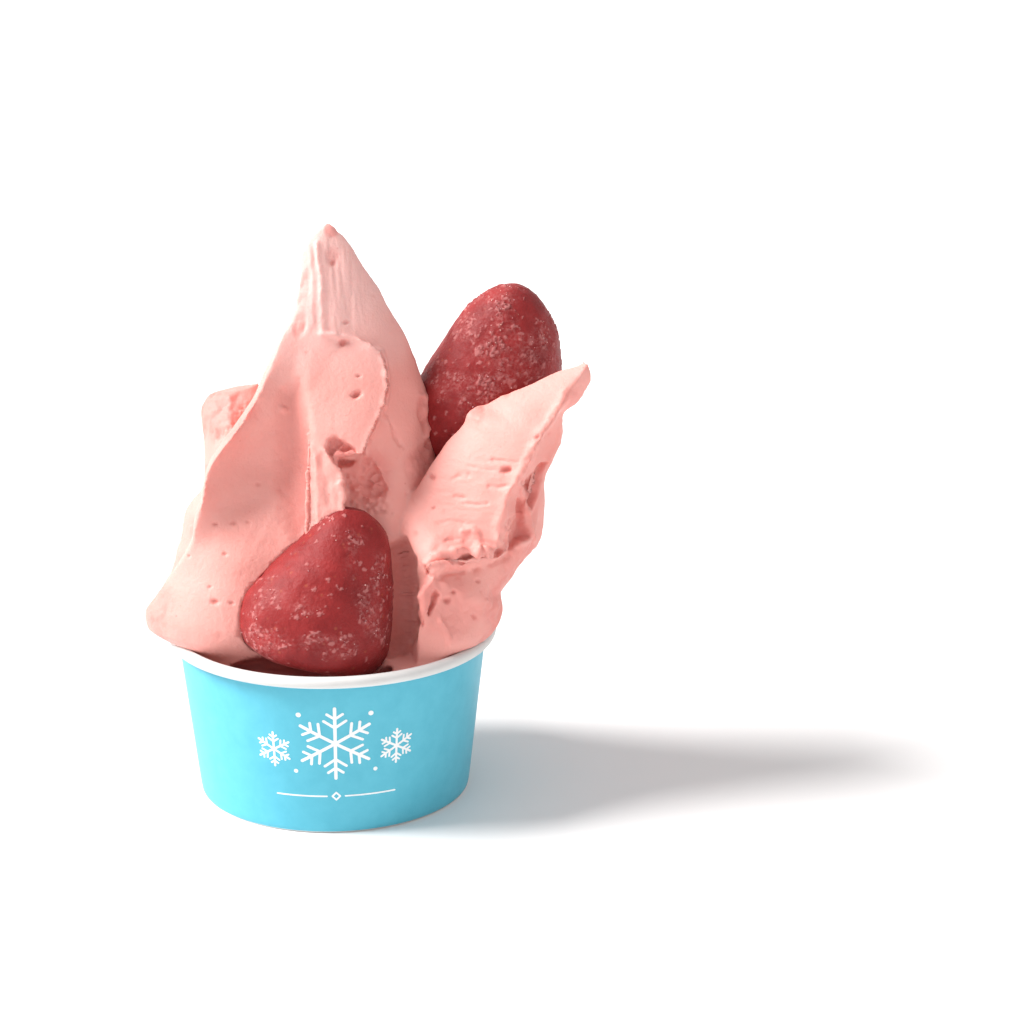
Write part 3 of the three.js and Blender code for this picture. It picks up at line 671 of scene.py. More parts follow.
# What spatula, ice and tearing leave on the sorbet. Sizes are in mm unless a note says otherwise.
sorbetDetail = {
    "voxel": 0.42,
    "triangles": 197000,
    "smoothing": (0.6, 3),  # share, times
    "lastSmoothing": (0.3, 1),
    "clearOfRim": (-3, 2),  # relief fades in over these heights from the rim
    "unevenness": 1.1,
    "unevennessSeen": 0.4,
    "unevenSize": 15,
    "lineWaver": (1.2, 9),  # pixels: how far, over what length
    "outlineWaver": (1.6, 7),
    "lineBreaks": (0.6, 2.2),  # share, size
    "crumbs": (1.5, 1.1),  # size of the crumbs, and of the noise on them
    "pitStretch": 1.5,  # parts of the width
    "pitRagged": (0.3, 0.9),
    "brushLayers": 2,
    "brushEdge": (0.7, 1),
    "tornRagged": (0.35, 5),  # share, size
    "tornEdge": (0.6, 1.15),
    "tornBehind": (0.9, 24),  # where the photograph doesn't show it: strength, size
    "tornBehindEdge": (0.12, 0.45),
    "tearing": 1.3,
    "tearSize": 5,
    "tearLevel": 0.45,  # parts of the tearing
    "tearWaves": (0.8, 1.2),  # weight, part of tearSize
    "tearCells": [(0.8, 1, 31), (0.9, 0.45, 32), (0.7, 0.22, 34)],  # weight, part of tearSize, seed
    "crestSmoothing": (0.7, 14),
    "crest": (0.1, 0.5),
    "chipping": 0.9,
    "chipSize": 2.6,
    "chipRise": 0.1,
    "poreSpacing": 5,
    "poreDepth": 0.45,
    "poreSize": (0.35, 0.55),  # smallest, and how much larger
    "poreChance": (0.62, 0.3),  # share left without, and how much less where torn
    # The colour turns paler towards the top of the heap over these heights, with a wavering edge.
    "palerTopFrom": (116, 140),
    "palerTopWaver": (7, 12),  # how far, over what length
    "shadePits": 0.5,
    "shadeHollows": 0.25,
    "fitCutters": (0.05, 60, 96),  # gap to a strawberry, its rows and segments
}

# The rows below follow the photograph: places are in its pixels, sizes in mm.
# Lines run downwards, and each stands out or is cut in by its height.
strokeLines = [  # height, width to the left and to the right, places
    (0.5, 0.6, 0.8, [(310, 447), (314, 456), (316, 479), (318, 524)]),
    (-0.5, 1.2, 1.2, [(322, 456), (326, 480), (329, 505)]),
    (0.6, 0.5, 0.9, [(317, 243), (320, 270), (321, 300), (322, 331)]),
    (0.3, 0.8, 0.8, [(309, 246), (313, 280), (312, 325)]),
    (1.0, 0.8, 0.6, [(322, 334), (333, 335), (345, 337), (356, 340), (368, 346), (381, 352), (387, 370),
                     (388, 388), (385, 403), (379, 417), (372, 432), (365, 446), (363, 454)]),
    (0.9, 0.9, 0.5, [(326, 450), (332, 460), (340, 468), (343, 480), (340, 485), (343, 490), (343, 512)]),
    (0.8, 0.45, 0.45, [(373, 458), (382, 474), (389, 489)]),
    (-0.7, 0.5, 0.6, [(382, 408), (390, 422), (400, 445)]),
    (0.7, 0.5, 0.5, [(387, 419), (392, 430)]),
    (0.7, 1.5, 0.7, [(565, 395), (552, 419), (541, 434), (530, 458), (520, 475), (511, 488), (504, 503),
                     (501, 520), (498, 540)]),
    (0.9, 0.5, 0.5, [(520, 486), (526, 505), (530, 520), (534, 539)]),
    (0.5, 0.5, 0.7, [(561, 420), (559, 443), (548, 464), (537, 494), (530, 512)]),
    (-0.9, 0.4, 0.9, [(513, 549), (504, 558), (491, 562), (476, 567), (461, 571), (445, 572), (432, 578)]),
    (0.9, 0.8, 0.8, [(463, 531), (472, 529), (480, 538), (477, 551), (466, 561), (459, 568)]),
    (0.9, 0.8, 0.8, [(482, 545), (492, 552)]),
    (1.0, 0.7, 0.7, [(431, 564), (438, 561), (447, 566)]),
    (1.1, 0.9, 0.8, [(433, 579), (424, 589), (417, 601)]),
    (0.8, 0.8, 0.8, [(440, 620), (447, 632), (450, 645)]),
    (-0.5, 0.4, 0.4, [(493, 460), (503, 461), (518, 462)]),
    (-0.3, 0.4, 0.4, [(468, 467), (486, 469), (503, 472)]),
    (-0.35, 0.45, 0.45, [(452, 479), (460, 477)]),
    (-0.45, 0.5, 0.5, [(489, 487), (498, 488), (509, 485)]),
    (-0.5, 0.5, 0.5, [(455, 496), (463, 498)]),
    (-0.3, 0.4, 0.4, [(463, 503), (476, 505), (488, 503)]),
    (-0.35, 0.5, 0.5, [(438, 523), (450, 521), (463, 524)]),
    (-0.4, 0.5, 0.5, [(446, 541), (458, 539)]),
    (1.1, 0.8, 0.8, [(424, 396), (426, 412), (430, 425), (427, 438)]),
]
# Places that lie deeper than the surface around them, or higher, inside an outline.
hollows = [  # depth, softness of the edge, roughness, outline
    (2.2, 0.5, 1.0, [(327, 449), (329, 439), (335, 436), (345, 443), (354, 450), (357, 458), (350, 466),
                     (340, 467), (333, 461)]),
    (2.6, 0.5, 0.0, [(525, 484), (530, 477), (541, 464), (548, 463), (542, 478), (537, 494), (531, 510)]),
    (3.2, 0.45, 0.2, [(519, 498), (524, 515), (530, 536), (520, 542), (509, 551), (513, 535), (518, 518)]),
    (0.6, 0.5, 1.0, [(507, 520), (516, 513), (517, 530), (508, 547), (503, 540)]),
    (0.1, 0.6, 0.2, [(461, 538), (469, 534), (473, 545), (467, 556), (460, 553)]),
    (2.2, 0.5, 0.4, [(435, 591), (439, 594), (434, 606), (429, 616), (427, 613), (431, 602)]),
    (0.8, 0.8, 1.2, [(362, 457), (374, 458), (389, 487), (384, 498), (371, 497), (362, 480)]),
    (0.6, 0.8, 1.2, [(345, 474), (362, 480), (382, 497), (396, 515), (350, 512)]),
    (1.4, 2.8, 0.0, [(283, 392), (299, 384), (305, 420), (311, 450), (315, 480), (317, 524), (298, 538),
                     (286, 520), (279, 460)]),
    (-2.3, 1.4, 0.2, [(426, 562), (438, 554), (458, 549), (485, 547), (504, 551), (492, 560), (466, 568),
                      (436, 573)]),
    (3.2, 1.6, 0.2, [(389, 548), (404, 540), (413, 560), (415, 600), (413, 640), (404, 652), (388, 654),
                     (390, 600)]),
]
pits = [  # x, y, radius, depth, turn in degrees
    (356, 395, 0.8, 1.3, -35), (343, 343, 0.9, 1.0, -15), (359, 376, 0.4, 0.6, 0), (333, 262, 0.6, 0.6, 90),
    (346, 322, 0.6, 0.6, 0), (284, 409, 0.8, -0.6, 20), (215, 524, 0.5, 0.5, 10), (234, 523, 0.6, 0.5, 0),
    (248, 522, 0.4, 0.4, 10), (210, 587, 0.4, 0.5, -10), (215, 602, 0.7, 0.8, 0), (232, 603, 0.5, 0.5, 15),
    (258, 484, 0.4, 0.4, 0), (225, 554, 0.4, 0.5, 0), (189, 556, 0.4, 0.5, 30), (432, 477, 0.6, 0.8, 45),
    (507, 470, 0.9, 1.2, -10), (538, 437, 0.6, 0.8, -30), (525, 483, 0.7, 0.9, 60), (498, 552, 0.7, 0.9, -30),
    (422, 624, 0.6, 1.0, 70), (447, 601, 0.7, 0.8, 0), (474, 617, 0.5, 0.6, 30), (454, 592, 0.5, 0.6, 0),
    (478, 581, 0.5, 0.5, 0), (487, 601, 0.4, -0.5, 0), (434, 508, 0.4, 0.5, 0), (428, 446, 0.6, 0.9, 60),
]
# Torn places also take a deeper tone; the strong patch on the ruffle at (222, 414) darkens its face as
# painted shade.
tornPatches = [  # x, y, half width, half height, turn in degrees, strength
    (341, 452, 12, 17, -25, 0.7), (372, 482, 26, 30, 0, 0.8), (448, 606, 36, 36, 0, 0.55),
    (527, 512, 12, 34, 15, 0.4), (222, 414, 34, 30, 0, 0.9), (426, 416, 7, 24, -10, 0.9),
    (463, 548, 36, 20, -15, 0.6), (418, 468, 14, 18, 0, 0.6), (330, 226, 9, 12, 0, 0.9),
    (572, 400, 10, 14, 0, 0.5), (503, 600, 14, 50, 20, 0.8), (160, 610, 16, 30, 0, 0.5),
    (303, 300, 7, 42, 8, 0.7), (333, 255, 8, 12, 0, 0.5), (477, 412, 8, 12, 20, 0.7),
    (424, 604, 10, 28, 20, 0.9), (520, 560, 24, 12, -35, 0.7),
]
# Fine parallel strokes where the spatula drew the surface: they run along a direction.
brushed = [  # x, y, half width, half height, direction in degrees, height, spacing across, spacing along
    (335, 290, 40, 60, 86, 0.28, 0.9, 9), (250, 470, 60, 110, 118, 0.10, 1.6, 14),
    (475, 490, 55, 45, 4, 0.16, 0.9, 4), (350, 400, 35, 60, 88, 0.05, 1.2, 10),
]


# How far each point counts as seen in the photograph: it faces the camera, and nothing stands before it.
seenDetail = {
    "facing": (0.02, 0.3),
    "cell": 5,  # pixels
    "cells": 256,
    "thickness": 6,  # mm
}


def seenShare(points, normals):
    toward = cameraPlace - points
    away = np.linalg.norm(toward, axis=1)
    facing = fade(np.sum(normals * toward, axis=1) / away, *seenDetail["facing"])
    count = seenDetail["cells"]
    cell = np.clip((inPhoto(points) / seenDetail["cell"]).astype(int), 0, count - 1)
    nearest = np.full((count, count), np.inf)
    np.minimum.at(nearest, (cell[:, 0], cell[:, 1]), away)
    return facing * (away < nearest[cell[:, 0], cell[:, 1]] + seenDetail["thickness"])


def pixelsPerMm(points):
    return photo["focal"] / np.linalg.norm(cameraPlace - points, axis=1)


# Distance in pixels to a line, and its side: 1 for a point to the right of a line that runs downwards.
def beside(pixels, line):
    best = np.full(len(pixels), np.inf)
    side = np.zeros(len(pixels))
    for start, end in zip(line, line[1:]):
        start, run = np.array(start, float), np.subtract(end, start)
        t = np.clip((pixels - start) @ run / (run @ run), 0, 1)
        off = pixels - start - t[:, None] * run
        away = np.hypot(off[:, 0], off[:, 1])
        nearer = away < best
        best = np.where(nearer, away, best)
        side = np.where(nearer, np.sign(run[1] * off[:, 0] - run[0] * off[:, 1]), side)
    return best, side


# Pixel places shifted a little to and fro, so that drawn lines and outlines waver.
def wavered(pixels, reach, size):
    return pixels + reach * np.stack([noise(np.insert(pixels, 2, 0, 1), size, k) for k in (91, 92)], axis=1)


# Places along and across a direction, in pixels from a spot.
def turnedPixels(pixels, x, y, turn):
    turn = math.radians(turn)
    dx, dy = pixels[:, 0] - x, pixels[:, 1] - y
    return dx * math.cos(turn) + dy * math.sin(turn), dy * math.cos(turn) - dx * math.sin(turn)


def strokeHeight(points, seen):
    pixels, scale = wavered(inPhoto(points), *sorbetDetail["lineWaver"]), pixelsPerMm(points)
    total = np.zeros(len(points))
    share, size = sorbetDetail["lineBreaks"]
    broken = 1 + share * noise(points, size, 12)
    for height, left, right, line in strokeLines:
        away, side = beside(pixels, line)
        width = np.where(side > 0, right, left)
        total += height * broken * np.exp(-((away / scale / width) ** 2))
    return total * seen


def pitDepth(points, seen):
    pixels, scale = inPhoto(points), pixelsPerMm(points)
    total = np.zeros(len(points))
    share, size = sorbetDetail["pitRagged"]
    ragged = 1 + share * noise(points, size, 5)
    for x, y, radius, depth, turn in pits:
        along, across = turnedPixels(pixels, x, y, turn)
        away = np.hypot(along / sorbetDetail["pitStretch"], across)
        deep = depth * np.exp(-((away / scale / radius * ragged) ** 3))
        total = np.where(np.abs(total) > np.abs(deep), total, deep)
    return total * seen


# Share by which each point lies inside an outline, soft over its edge.
def insideShare(pixels, scale, outline, edge):
    pixels = wavered(pixels, *sorbetDetail["outlineWaver"])
    best = np.full(len(pixels), np.inf)
    inside = np.zeros(len(pixels), bool)
    for start, end in zip(outline, outline[1:] + outline[:1]):
        away, _ = beside(pixels, [start, end])
        best = np.minimum(best, away)
        if start[1] != end[1]:
            crossing = start[0] + (pixels[:, 1] - start[1]) * (end[0] - start[0]) / (end[1] - start[1])
            inside ^= ((pixels[:, 1] > start[1]) != (pixels[:, 1] > end[1])) & (pixels[:, 0] < crossing)
    return fade(np.where(inside, best, -best) / scale, -edge, edge)


def hollowDepth(points, seen):
    pixels, scale = inPhoto(points), pixelsPerMm(points)
    total = np.zeros(len(points))
    spotSize, noiseSize = sorbetDetail["crumbs"]
    crumbs = 0.5 - nearestSpot(points, spotSize, 8)[0] / spotSize + 0.5 * noise(points, noiseSize, 9)
    for depth, edge, rough, outline in hollows:
        share = insideShare(pixels, scale, outline, edge)
        total += share * (depth - rough * crumbs)
    return total * seen


def brushHeight(points, seen):
    pixels, scale = inPhoto(points), pixelsPerMm(points)
    total = np.zeros(len(points))
    for seed, (x, y, halfWidth, halfHeight, turn, height, acrossSize, alongSize) in enumerate(brushed):
        along, across = turnedPixels(pixels, x, y, turn)
        level = np.zeros(len(points))
        flat = np.stack([along / scale / alongSize, across / scale / acrossSize, level], axis=1)
        away = np.hypot((pixels[:, 0] - x) / halfWidth, (pixels[:, 1] - y) / halfHeight)
        lines = layeredNoise(flat, 1, 81 + seed, sorbetDetail["brushLayers"])
        total += height * lines * (1 - fade(away, *sorbetDetail["brushEdge"]))
    return total * seen


# How torn the surface is, from 0 on a smooth stroke of the spatula to 1 and over.
def tornShare(points, seen):
    pixels = inPhoto(points)
    front = np.zeros(len(points))
    share, size = sorbetDetail["tornRagged"]
    ragged = share * noise(points, size, 11)
    for x, y, halfWidth, halfHeight, turn, strength in tornPatches:
        across, down = turnedPixels(pixels, x, y, turn)
        away = np.hypot(across / halfWidth, down / halfHeight) + ragged
        front = np.maximum(front, strength * (1 - fade(away, *sorbetDetail["tornEdge"])))
    strength, size = sorbetDetail["tornBehind"]
    elsewhere = fade(layeredNoise(points, size, 21), *sorbetDetail["tornBehindEdge"]) * strength
    return front * seen + elsewhere * (1 - seen)


# Small pores of air and ice, thinly scattered, and more of them where the sorbet is torn.
def poreDepth(points, torn):
    away, chance = nearestSpot(points, sorbetDetail["poreSpacing"], 3)
    smallest, more = sorbetDetail["poreSize"]
    without, fewer = sorbetDetail["poreChance"]
    size = smallest + more * (chance * 7 % 1)
    return np.exp(-((away / size) ** 2)) * (chance > without - fewer * np.minimum(torn, 1)) * size


# Relief of a torn place: lumps with sharp creases between them, at three sizes.
def tearing(points):
    size = sorbetDetail["tearSize"]
    weight, part = sorbetDetail["tearWaves"]
    total = weight * layeredNoise(points, size * part, 33) + sorbetDetail["tearLevel"]
    for weight, part, seed in sorbetDetail["tearCells"]:
        total -= weight * nearestSpot(points, size * part, seed)[0] / size
    return total


# The gap under the low strawberry, along the rim, cut out of the sorbet: a bent tube whose radius changes
# with the angle. The sorbet around it is darkened with painted shade.
cavity = {
    "reach": 36.5,  # from the cup's axis to the tube's middle
    "height": 44,
    "rows": 40,
    "spokes": 24,
    "ragged": 0.18,
    "waveSize": 6,
    "shadeReach": (1.2, 0.6),  # how far the painted shade around the tube reaches: parts of the radius, and mm
    "radius": [[-0.86, 0.6], [-0.6, 4.2], [-0.3, 6.6], [0, 5.2], [0.3, 3.8], [0.5, 0.8]],  # angle, mm
}


def cavityMesh():
    keys = cavity["radius"]
    angle = np.linspace(keys[0][0], keys[-1][0], cavity["rows"])
    radius = keyed(keys, angle)[:, 0]
    outward = np.stack([np.sin(angle), -np.cos(angle), np.zeros_like(angle)], axis=1)
    middle = cavity["reach"] * outward + [0, 0, cavity["height"]]
    rings = []
    for turn in np.arange(cavity["spokes"]) * 2 * math.pi / cavity["spokes"]:
        waves = noise(middle + 9 * math.cos(turn), cavity["waveSize"], 49)
        ragged = radius * (1 + cavity["ragged"] * waves)
        spoke = math.cos(turn) * np.array([0, 0, 1]) + math.sin(turn) * outward
        rings.append(middle + ragged[:, None] * spoke)
    return skin(np.stack(rings, axis=1))


# Share of painted shade on the sorbet around the tube.
def cavityShade(points):
    angle = np.arctan2(points[:, 0], -points[:, 1])
    keys = cavity["radius"]
    radius = keyed(keys, np.clip(angle, keys[0][0], keys[-1][0]))[:, 0]
    off = np.hypot(np.hypot(points[:, 0], points[:, 1]) - cavity["reach"], points[:, 2] - cavity["height"])
    parts, more = cavity["shadeReach"]
    return fade(radius * parts + more - off, 0, 1)


# Moves each point to the middle of its neighbours by a share.
def relax(mesh, points, share, times):
    ends = meshEdges(mesh)
    count = np.bincount(ends.ravel(), minlength=len(points))[:, None]
    for _ in range(times):
        total = np.zeros_like(points)
        for axis in range(3):
            total[:, axis] = np.bincount(ends[:, 0], points[ends[:, 1], axis], len(points))
            total[:, axis] += np.bincount(ends[:, 1], points[ends[:, 0], axis], len(points))
        points = points + share * (total / count - points)
    return points


def addMask(mesh, name, values):
    layer = mesh.attributes.new(name, "FLOAT", "POINT")
    layer.data.foreach_set("value", values.astype(np.float32))


# Strokes of the spatula, torn places, chipped crests and pores, pushed along the surface.
def workSurface(mesh):
    places = relax(mesh, meshPoints(mesh), *sorbetDetail["smoothing"])
    setMeshPoints(mesh, places)
    normals = meshNormals(mesh)
    seen = seenShare(places, normals)
    low, high = (cupSizes["height"] + step for step in sorbetDetail["clearOfRim"])
    free = fade(places[:, 2], low, high)
    uneven = sorbetDetail["unevenness"] + seen * (sorbetDetail["unevennessSeen"] - sorbetDetail["unevenness"])
    lift = uneven * layeredNoise(places, sorbetDetail["unevenSize"], 2) - hollowDepth(places, seen)
    lift += strokeHeight(places, seen) + brushHeight(places, seen)
    places = places + normals * (lift * free)[:, None]
    setMeshPoints(mesh, places)

    normals = meshNormals(mesh)
    torn = tornShare(places, seen)
    crest = np.sum((places - relax(mesh, places, *sorbetDetail["crestSmoothing"])) * normals, axis=1)
    chips = np.minimum(layeredNoise(places, sorbetDetail["chipSize"], 45), sorbetDetail["chipRise"])
    lift = sorbetDetail["tearing"] * torn * tearing(places)
    lift += sorbetDetail["chipping"] * fade(crest, *sorbetDetail["crest"]) * chips
    lift -= pitDepth(places, seen) + sorbetDetail["poreDepth"] * poreDepth(places, torn)
    places = places + normals * (lift * free)[:, None]
    setMeshPoints(mesh, relax(mesh, places, *sorbetDetail["lastSmoothing"]))


# Masks that the sorbet's material reads.
def markSurface(mesh):
    places, normals = meshPoints(mesh), meshNormals(mesh)
    seen = seenShare(places, normals)
    torn = tornShare(places, seen)
    reach, size = sorbetDetail["palerTopWaver"]
    addMask(mesh, "torn", np.clip(torn, 0, 1))
    # Colour paler towards the top of the heap.
    height = places[:, 2] + reach * layeredNoise(places, size, 47)
    addMask(mesh, "paler_top", fade(height, *sorbetDetail["palerTopFrom"]))
    # Painted shade: darker colour in pits, pores and hollows.
    hollow = np.maximum(pitDepth(places, seen), 0) + sorbetDetail["shadePits"] * poreDepth(places, torn)
    hollow += sorbetDetail["shadeHollows"] * np.maximum(hollowDepth(places, seen), 0)
    addMask(mesh, "hollow", np.clip(hollow, 0, 1))
    # Painted shade on the sorbet around the gap under the low strawberry.
    addMask(mesh, "cavity_shade", cavityShade(places))


def sorbetPiece():
    lumps = [flame, ruffle, fold, petal, hem, shoulder, bed, *backStrokes]
    points, faces, start = [], [], 0
    for made in [fillMesh(), *map(lumpMesh, lumps)]:
        points.append(made[0])
        faces.extend(tuple(start + i for i in face) for face in made[1])
        start += len(made[0])
    piece = meshObject("sorbet_heap", np.concatenate(points), faces)
    applyModifier(piece, "REMESH", mode="VOXEL", voxel_size=sorbetDetail["voxel"] * mm)
    keepLargest(piece.data)
    workSurface(piece.data)
    for name, made in (
        ("envelope", cupEnvelope()),
        ("front", berryMesh(frontBerry, *sorbetDetail["fitCutters"])),
        ("back", berryMesh(backBerry, *sorbetDetail["fitCutters"])),
        ("cavity", cavityMesh()),
    ):
        cutter = meshObject(name, *made)
        applyModifier(piece, "BOOLEAN", operation="DIFFERENCE", solver="MANIFOLD", object=cutter)
        discard(cutter)
    keepLargest(piece.data)
    faceCount = sum(len(face.vertices) - 2 for face in piece.data.polygons)
    applyModifier(piece, "DECIMATE", ratio=sorbetDetail["triangles"] / faceCount)
    piece.data.materials.clear()
    piece.data.shade_smooth()
    markSurface(piece.data)
    return piece


sorbet = sorbetPiece()
print("sorbet", len(sorbet.data.vertices), "points")


# Frozen strawberries: shallow dimples where the seeds sit, and a crust of frost in patches.
berryDetail = {
    "rows": 250,
    "segments": 370,
    "dimpleSpacing": 3.3,
    "dimple": (0.2, 0.9),  # depth, radius
    "seed": (0.12, 0.32, 0.42),  # height, radius, radius of its colour
    "dents": (0.45, 9),  # depth, size
    "swell": 0.12,
    "crust": 0.6,
    "crustSize": 1.3,
    "crustEdge": (0.4, 0.75),
    "crustRagged": 0.5,
    "crustChance": (0.05, 0.85),  # everywhere, and more where there is frost
    "crustHeights": (0.25, 0.4),
    "frostRagged": (0.7, 4.5),  # share, size
    "frostEdge": (0.4, 1.4),
    "frostBehind": (9, 2.2),  # sizes of its patches where the photograph doesn't show it
    "frostBehindFine": 0.45,
    "frostBehindEdge": (-0.02, 0.4),
    "frostBreaks": (0.65, 2.6),  # share, size
    "frostBreakEdge": (-0.25, 0.25),
    "dimpleUnderFrost": 0.7,
    "raggedSize": 0.5,
    "grains": 150,
    "grainSize": (0.1, 0.24),
    "grainStretch": (0.6, 1.5),
    "grainLift": 0.05,
}

# Where frost shows in the photograph: x, y, half width, half height, turn in degrees, strength.
frostPlaces = [
    (266, 640, 32, 16, 10, 0.9), (326, 645, 42, 13, 0, 0.6), (374, 610, 14, 50, 0, 0.6),
    (352, 560, 12, 40, -10, 0.4), (262, 600, 22, 12, -45, 0.6), (320, 520, 18, 10, 0, 0.4),
    (310, 610, 20, 14, 0, 0.4), (480, 382, 36, 24, -25, 0.95), (469, 330, 13, 14, 0, 0.9),
    (498, 298, 20, 14, 0, 0.8), (540, 337, 20, 34, 20, 1.0), (505, 335, 22, 20, 0, 0.9),
    (440, 375, 12, 16, 0, 0.6), (530, 372, 20, 12, -30, 0.6),
]


def frostShare(points, normals, berry):
    pixels, seen = inPhoto(points), seenShare(points, normals)
    share, size = berryDetail["frostRagged"]
    ragged = share * noise(points, size, 62)
    front = np.zeros(len(points))
    for x, y, halfWidth, halfHeight, turn, strength in frostPlaces:
        across, down = turnedPixels(pixels, x, y, turn)
        away = np.hypot(across / halfWidth, down / halfHeight) + ragged
        front = np.maximum(front, strength * (1 - fade(away, *berryDetail["frostEdge"])))
    wide, fine = berryDetail["frostBehind"]
    patches = layeredNoise(points, wide, 61 + int(berry["turns"] * 10))
    patches += berryDetail["frostBehindFine"] * layeredNoise(points, fine, 71)
    elsewhere = fade(patches, *berryDetail["frostBehindEdge"])
    share, size = berryDetail["frostBreaks"]
    broken = 1 - share + share * fade(layeredNoise(points, size, 73), *berryDetail["frostBreakEdge"])
    return (front * seen + elsewhere * (1 - seen)) * broken


def berryPiece(name, berry):
    piece = meshObject(name, *berryMesh(berry, 0, berryDetail["rows"], berryDetail["segments"]))
    mesh = piece.data
    places, normals = meshPoints(mesh), meshNormals(mesh)
    away, _ = nearestSpot(places, berryDetail["dimpleSpacing"], 17)
    frost = frostShare(places, normals, berry)
    size = berryDetail["crustSize"]
    near, chance = nearestSpot(places, size, 23)
    bare, more = berryDetail["crustChance"]
    ragged = berryDetail["crustRagged"] * noise(places, berryDetail["raggedSize"], 24)
    flake = fade(1 - near / size + ragged, *berryDetail["crustEdge"]) * (chance < bare + more * frost)
    depth, radius = berryDetail["dimple"]
    lift = -depth * np.exp(-((away / radius) ** 2)) * (1 - berryDetail["dimpleUnderFrost"] * frost)
    height, radius, tinted = berryDetail["seed"]
    lift += height * np.exp(-((away / radius) ** 4)) * (1 - frost)
    depth, size = berryDetail["dents"]
    lift += depth * layeredNoise(places, size, 51) + berryDetail["swell"]
    low, more = berryDetail["crustHeights"]
    lift += berryDetail["crust"] * flake * (low + more * chance)
    setMeshPoints(mesh, places + normals * lift[:, None])
    addMask(mesh, "frost", frost)
    addMask(mesh, "flake", flake)
    addMask(mesh, "seed", np.exp(-((away / tinted) ** 4)) * (1 - frost))
    return piece


# Loose grains of ice on a strawberry: small closed crystals set half into its skin.
def frostGrains(name, piece, berry, seed):
    chance = np.random.default_rng(seed)
    mesh = piece.data
    places, normals = meshPoints(mesh), meshNormals(mesh)
    weight = frostShare(places, normals, berry) ** 2 + 0.01
    chosen = chance.choice(len(places), berryDetail["grains"], replace=False, p=weight / weight.sum())
    corner = np.array([(1, 0, 0), (-1, 0, 0), (0, 1, 0), (0, -1, 0), (0, 0, 1), (0, 0, -1)], float)
    sides = [(0, 2, 4), (2, 1, 4), (1, 3, 4), (3, 0, 4), (2, 0, 5), (1, 2, 5), (3, 1, 5), (0, 3, 5)]
    points, faces = [], []
    for i in chosen:
        turn, _ = np.linalg.qr(chance.normal(size=(3, 3)))
        turn *= np.sign(np.linalg.det(turn))
        size = chance.uniform(*berryDetail["grainSize"]) * chance.uniform(*berryDetail["grainStretch"], 3)
        faces.extend(tuple(len(points) * 6 + k for k in side) for side in sides)
        points.append((corner * size) @ turn + places[i] + normals[i] * berryDetail["grainLift"])
    return meshObject(name, np.concatenate(points), faces, smooth=False)


lowBerry = berryPiece("strawberry_low", frontBerry)
highBerry = berryPiece("strawberry_high", backBerry)
lowFrost = frostGrains("frost_low", lowBerry, frontBerry, 5)
highFrost = frostGrains("frost_high", highBerry, backBerry, 6)
print("strawberries and their frost")


# How finely the paper is made, and where the board's print and lap begin and end, in mm.
paperDetail = {
    "wallSegments": 256,
    "floorSegments": 160,
    "wallSteps": 12,
    "rollSteps": 28,
    "corner": 0.4,
    "foldBend": [(0, 0.95), (0.2, 0.2), (0.5, 0)],  # out from the fold's line, up from the foot's
    "printedFrom": 0.3,
    "printedBelowRoll": 1.2,
    "seamSteps": 8,
    "seamFrom": 0.6,
    "seamIntoRoll": 0.2,
    "seamSunk": 0.1,
}


# Paper wall: one board from the folded foot to the rolled rim, as a closed band turned about the axis.
def wallPiece():
    paper, half, corner = cupSizes["paper"], cupSizes["paper"] / 2, paperDetail["corner"]
    foot, fold = cupSizes["footRadius"] - half, cupSizes["footRadius"] - 2 * (paper + cupSizes["gap"]) - half
    line = [(fold, cupSizes["foldHeight"])]
    line += [(fold + out, half + up) for out, up in paperDetail["foldBend"]]
    line += [(foot - corner, half), (foot, half + corner)]
    line += [(wallOuter(z) - half, z) for z in np.linspace(2, rollHeight - 1, paperDetail["wallSteps"])]
    reach = cupSizes["rollRadius"] - half
    for angle in np.linspace(math.pi, -math.pi / 2, paperDetail["rollSteps"]):
        line.append((rollCentre + reach * math.cos(angle), rollHeight + reach * math.sin(angle)))
    line = np.array(line)
    run = np.diff(line, axis=0)
    run /= np.linalg.norm(run, axis=1)[:, None]
    before, after = np.vstack([run[:1], run]), np.vstack([run, run[-1:]])
    along = before + after
    along /= np.linalg.norm(along, axis=1)[:, None]
    across = np.stack([along[:, 1], -along[:, 0]], axis=1) * half / np.sum(along * after, axis=1)[:, None]
    profile = np.vstack([line + across, (line - across)[::-1]])
    piece = meshObject("paper_wall", *turned(profile, paperDetail["wallSegments"]))

    faces = piece.data.polygons
    middle = np.array([face.center - cupAxis for face in faces]) / mm
    normal = np.array([face.normal for face in faces])
    height, reach = middle[:, 2], np.hypot(middle[:, 0], middle[:, 1])
    outward = np.sum(normal[:, :2] * middle[:, :2], axis=1) > 0
    board = (height > paperDetail["printedFrom"]) & (height < rollHeight - paperDetail["printedBelowRoll"])
    printed = outward & board & (reach > wallOuter(height) - 0.1)
    faces.foreach_set("material_index", np.where(printed, 0, 1).astype(np.int32))
    return piece


# The lap of the board down the back.
def seamPiece():
    half, steps = cupSizes["paper"] / 2, paperDetail["seamSteps"]
    top = rollHeight - cupSizes["rollRadius"] + paperDetail["seamIntoRoll"]
    rings = []
    for z in np.linspace(paperDetail["seamFrom"], top, steps):
        turns = math.pi / 2 + np.linspace(-0.5, 0.5, steps + 1) * cupSizes["seamWidth"] / wallOuter(z)
        outer, inner = wallOuter(z) + half, wallOuter(z) - paperDetail["seamSunk"]
        rings.append([(math.cos(t) * outer, math.sin(t) * outer, z) for t in turns]
                     + [(math.cos(t) * inner, math.sin(t) * inner, z) for t in turns[::-1]])
    return meshObject("paper_seam", *skin(np.array(rings)), smooth=False)


